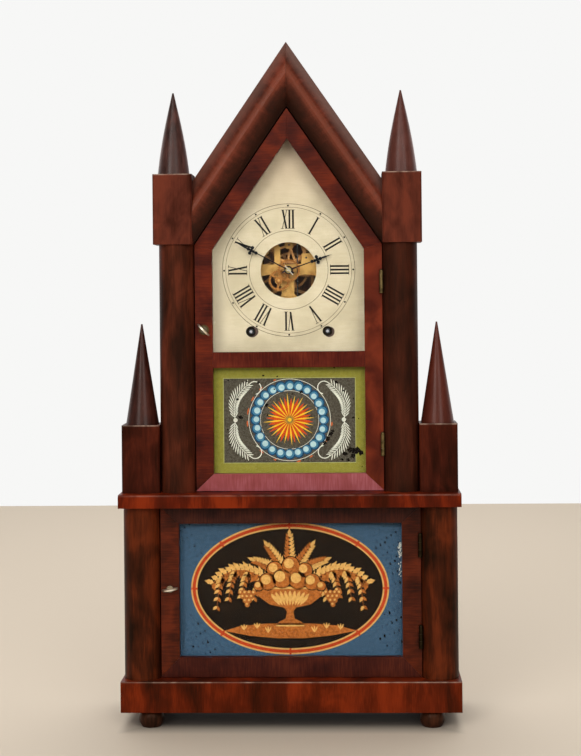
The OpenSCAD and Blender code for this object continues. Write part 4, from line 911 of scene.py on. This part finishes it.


# The front plate is darkened with painted shade round the winding squares.
dress(brass("lacquered plate brass", "#e3b468", "#955c28", 0.36, 70, 0.75,
            [(0.46, "#f8f8f8"), (0.8, "#000000")]), "front_plate", "plate_pillars")
# The back plate is darker brass as painted shade, for the shadow it lies in behind the front
# plate.
dress(brass("back plate brass", "#7c5829", "#3f2a14", 0.42, 90, 0.8), "back_plate")
dress(brass("coppery wheel brass", "#bb7f42", "#6b3f1e", 0.34, 150, 0.7), "minute_wheel",
      "hour_wheel", "cannon_pinion", "time_great_wheel", "strike_great_wheel")
# The drums are darkened with painted shade round their winding squares; a spot of each square's
# steel stays bright in its middle.
dress(brass("drum brass", "#b98c48", "#5c4222", 0.38, 150, 0.8,
            [(0.07, "#000000"), (0.12, "#f4f4f4"), (0.3, "#f4f4f4"), (0.5, "#000000")],
            square="#bcbcc2"), "time_drum", "strike_drum")
for node, name, at, shaft, trundles in (
        ("time_second_wheel", "second wheel and arbor", (23.35, -25.31), 1.1, (4.92, 12.8, 15.2)),
        ("centre_wheel", "centre wheel and arbor", (0, 0), 1.2, (4.92, 35.6, 38)),
        ("time_third_wheel", "third wheel and arbor", (17.4, 12.8), 1.1, (2.4, 25.8, 28.2)),
        ("escape_wheel", "escape wheel and arbor", (0, 26), 1, (2.24, 17.8, 20.2)),
        ("strike_second_wheel", "strike second wheel", (-25.14, -24.61), 1.1, (4.92, 12.8, 15.2)),
        ("strike_third_wheel", "strike third wheel", (-32.86, 2.3), 1, (2.8, 29.8, 32.2)),
        ("strike_fly", "fly and arbor", (-25.98, 20.23), 1, (2.4, 21.8, 24.2))):
    dress(wheelwork(name, at, shaft, trundles), node)

# ---- Verge, pendulum, hammer and gong ----
# Drawn and filed steel, bright where it is handled; the bob is brass over lead, and the gong a
# coil of blued wire on an iron foot.
dress(steel("drawn steel", "#a3a6a8", "#6d6a66", 0.3), "verge_and_crutch")
dress(steel("worn steel hammer", "#7d7c79", "#4a433c", 0.38), "hammer")
dress(steel("blued gong wire and iron foot", "#2f3744", "#221f1e", 0.34), "gong")
material, tree, place = new_material("steel rod and brass bob")
spots = noise(tree, place, 120, 4)
bob = mix(tree, remap(tree, spots, 0.42, 0.7, 0, 0.7), "#c99b48", "#7d5a2a")
rod = calc(tree, "GREATER_THAN", axes(tree, place)["Z"], 333.5 * MM)
surface(tree, mix(tree, rod, bob, "#5a5753"), remap(tree, spots, 0.35, 0.65, 0.24, 0.38),
        {"Metallic": 1.0})
dress(material, "pendulum")

# ---- Leaf spring, clamp, levers and links ----
# Seven tempered leaves bolted to the floor of the case; they pull through stirrups on cast
# quadrant levers. The leaves keep their grey scale and the castings are japanned black.
dress(steel("tempered spring leaves", "#6f6c68", "#3e332b", 0.45, patches=90), "leaf_spring")
dress(steel("japanned cast iron", "#25211f", "#3c2c22", 0.5, 0.25, 160), "spring_clamp",
      "lever_brackets", "time_lever", "strike_lever", "time_link", "strike_link")

# ---- Drive cords ----
# Twisted linen cords, one for each train, held taut from the quadrants up to the winding drums.
# What winds on a drum or a quadrant isn't made.
material, tree, place = new_material("twisted linen cord")
strands = put(tree, "TexWave", {
    "Vector": stretched(tree, place, (1.6, 1.6, 1.6), (0, 0.9, 0)), "Scale": 0.4,
    "Distortion": 0.4}).outputs["Fac"]
surface(tree, shades(tree, strands, [(0.2, "#8a7550"), (0.8, "#c3b183")]), 0.85,
        bump=(strands, 0.5, 0.2))
dress(material, "drive_cords")

# ---- Floor, lamps, white room and camera ----
# A pale floor in front of plain white, large soft lamps, and the camera at the place from which
# the photograph was taken.

# The floor ends where the photograph's does, and beyond it there is only the white world. A
# painted shadow darkens it under the clock, and fades at about 158 mm to each side and 60 mm to
# the front and the back.
bm = bmesh.new()
bmesh.ops.create_grid(bm, size=1, matrix=Matrix.Translation((0, -0.485, 0)) @ Matrix.Diagonal(
    (4.5, 2.115, 1, 1)))
material, tree, place = new_material("pale matt floor")
beyond = [calc(tree, "SUBTRACT", calc(tree, "ABSOLUTE", axes(tree, place)[axis]), half * MM)
          for axis, half in (("X", 158), ("Y", 60))]
# painted shadow under the clock
floor_shadow = remap(tree, calc(tree, "MAXIMUM", *beyond), -25 * MM, 12 * MM, 0.85, 0)
surface(tree, mix(tree, floor_shadow, "#cfc0ac", "#2b2620"), 0.7)
solid("floor", material, bm)


def lamp(name, at, aim, size, power):
    """A square soft lamp at a place in m, size m wide, aimed at another place."""
    light = bpy.data.lights.new(name, "AREA")
    light.size = size
    light.energy = power
    holder = add(name, light)
    holder.location = at
    holder.rotation_euler = (Vector(aim) - Vector(at)).to_track_quat("-Z", "Y").to_euler()


lamp("high front lamp", (-0.4, -2.7, 2.6), (0, 0, 0.3), 3.0, 60)
lamp("left front lamp", (-1.4, -3.0, 1.5), (0, 0, 0.35), 1.4, 26)
lamp("right front lamp", (1.5, -3.0, 1.5), (0, 0, 0.35), 1.4, 23)
lamp("lamp over the far floor", (0, 1.1, 2.3), (0, 1.0, 0), 2.0, 38)

# The room is soft white light. The camera sees it as plain white, and so do glass and metal
# where they mirror what lies behind the clock.
world = bpy.data.worlds.new("white room")
bpy.context.scene.world = world
world.use_nodes = True
tree = world.node_tree
tree.nodes.clear()
rays = put(tree, "LightPath").outputs
behind = remap(tree, axes(tree, put(tree, "TexCoord").outputs["Generated"])["Y"], 0.15, 0.45, 0, 1)
mirrored = calc(tree, "MULTIPLY", calc(
    tree, "MAXIMUM", rays["Is Glossy Ray"], rays["Is Transmission Ray"]), behind)
put(tree, "OutputWorld", {"Surface": put(tree, "MixShader", {
    0: calc(tree, "MAXIMUM", rays["Is Camera Ray"], mirrored),
    1: put(tree, "Background", {"Color": "#ffffff", "Strength": 0.32}).outputs[0],
    2: put(tree, "Background", {"Color": "#f7f7f6", "Strength": 1.0}).outputs[0]}).outputs[0]})

# The camera's place, its turn in degrees, its focal length and rise, in pixels of a picture
# that is 756 pixels high, as measured on the clock's own edges.
PIXELS_HIGH = 756
SENSOR = 36
yaw, pitch, roll = (math.radians(d) for d in (-2.048, 0.309, -0.54))
ahead = Vector((math.sin(yaw) * math.cos(pitch), math.cos(yaw) * math.cos(pitch),
                math.sin(pitch)))
right = Vector((math.cos(yaw), -math.sin(yaw), 0))
above = right.cross(ahead)
right, above = (math.cos(roll) * right + math.sin(roll) * above,
                math.cos(roll) * above - math.sin(roll) * right)
lens = bpy.data.cameras.new("camera")
lens.sensor_width = SENSOR
lens.lens = 1586.7 * SENSOR / PIXELS_HIGH
lens.shift_y = -88.12 / PIXELS_HIGH
camera = add("camera", lens)
camera.matrix_world = Matrix.Translation((0.0588, -1.6047, 0.4205)) @ Matrix(
    (right, above, -ahead)).transposed().to_4x4()
bpy.context.scene.camera = camera
bpy.context.scene.view_settings.view_transform = "Standard"
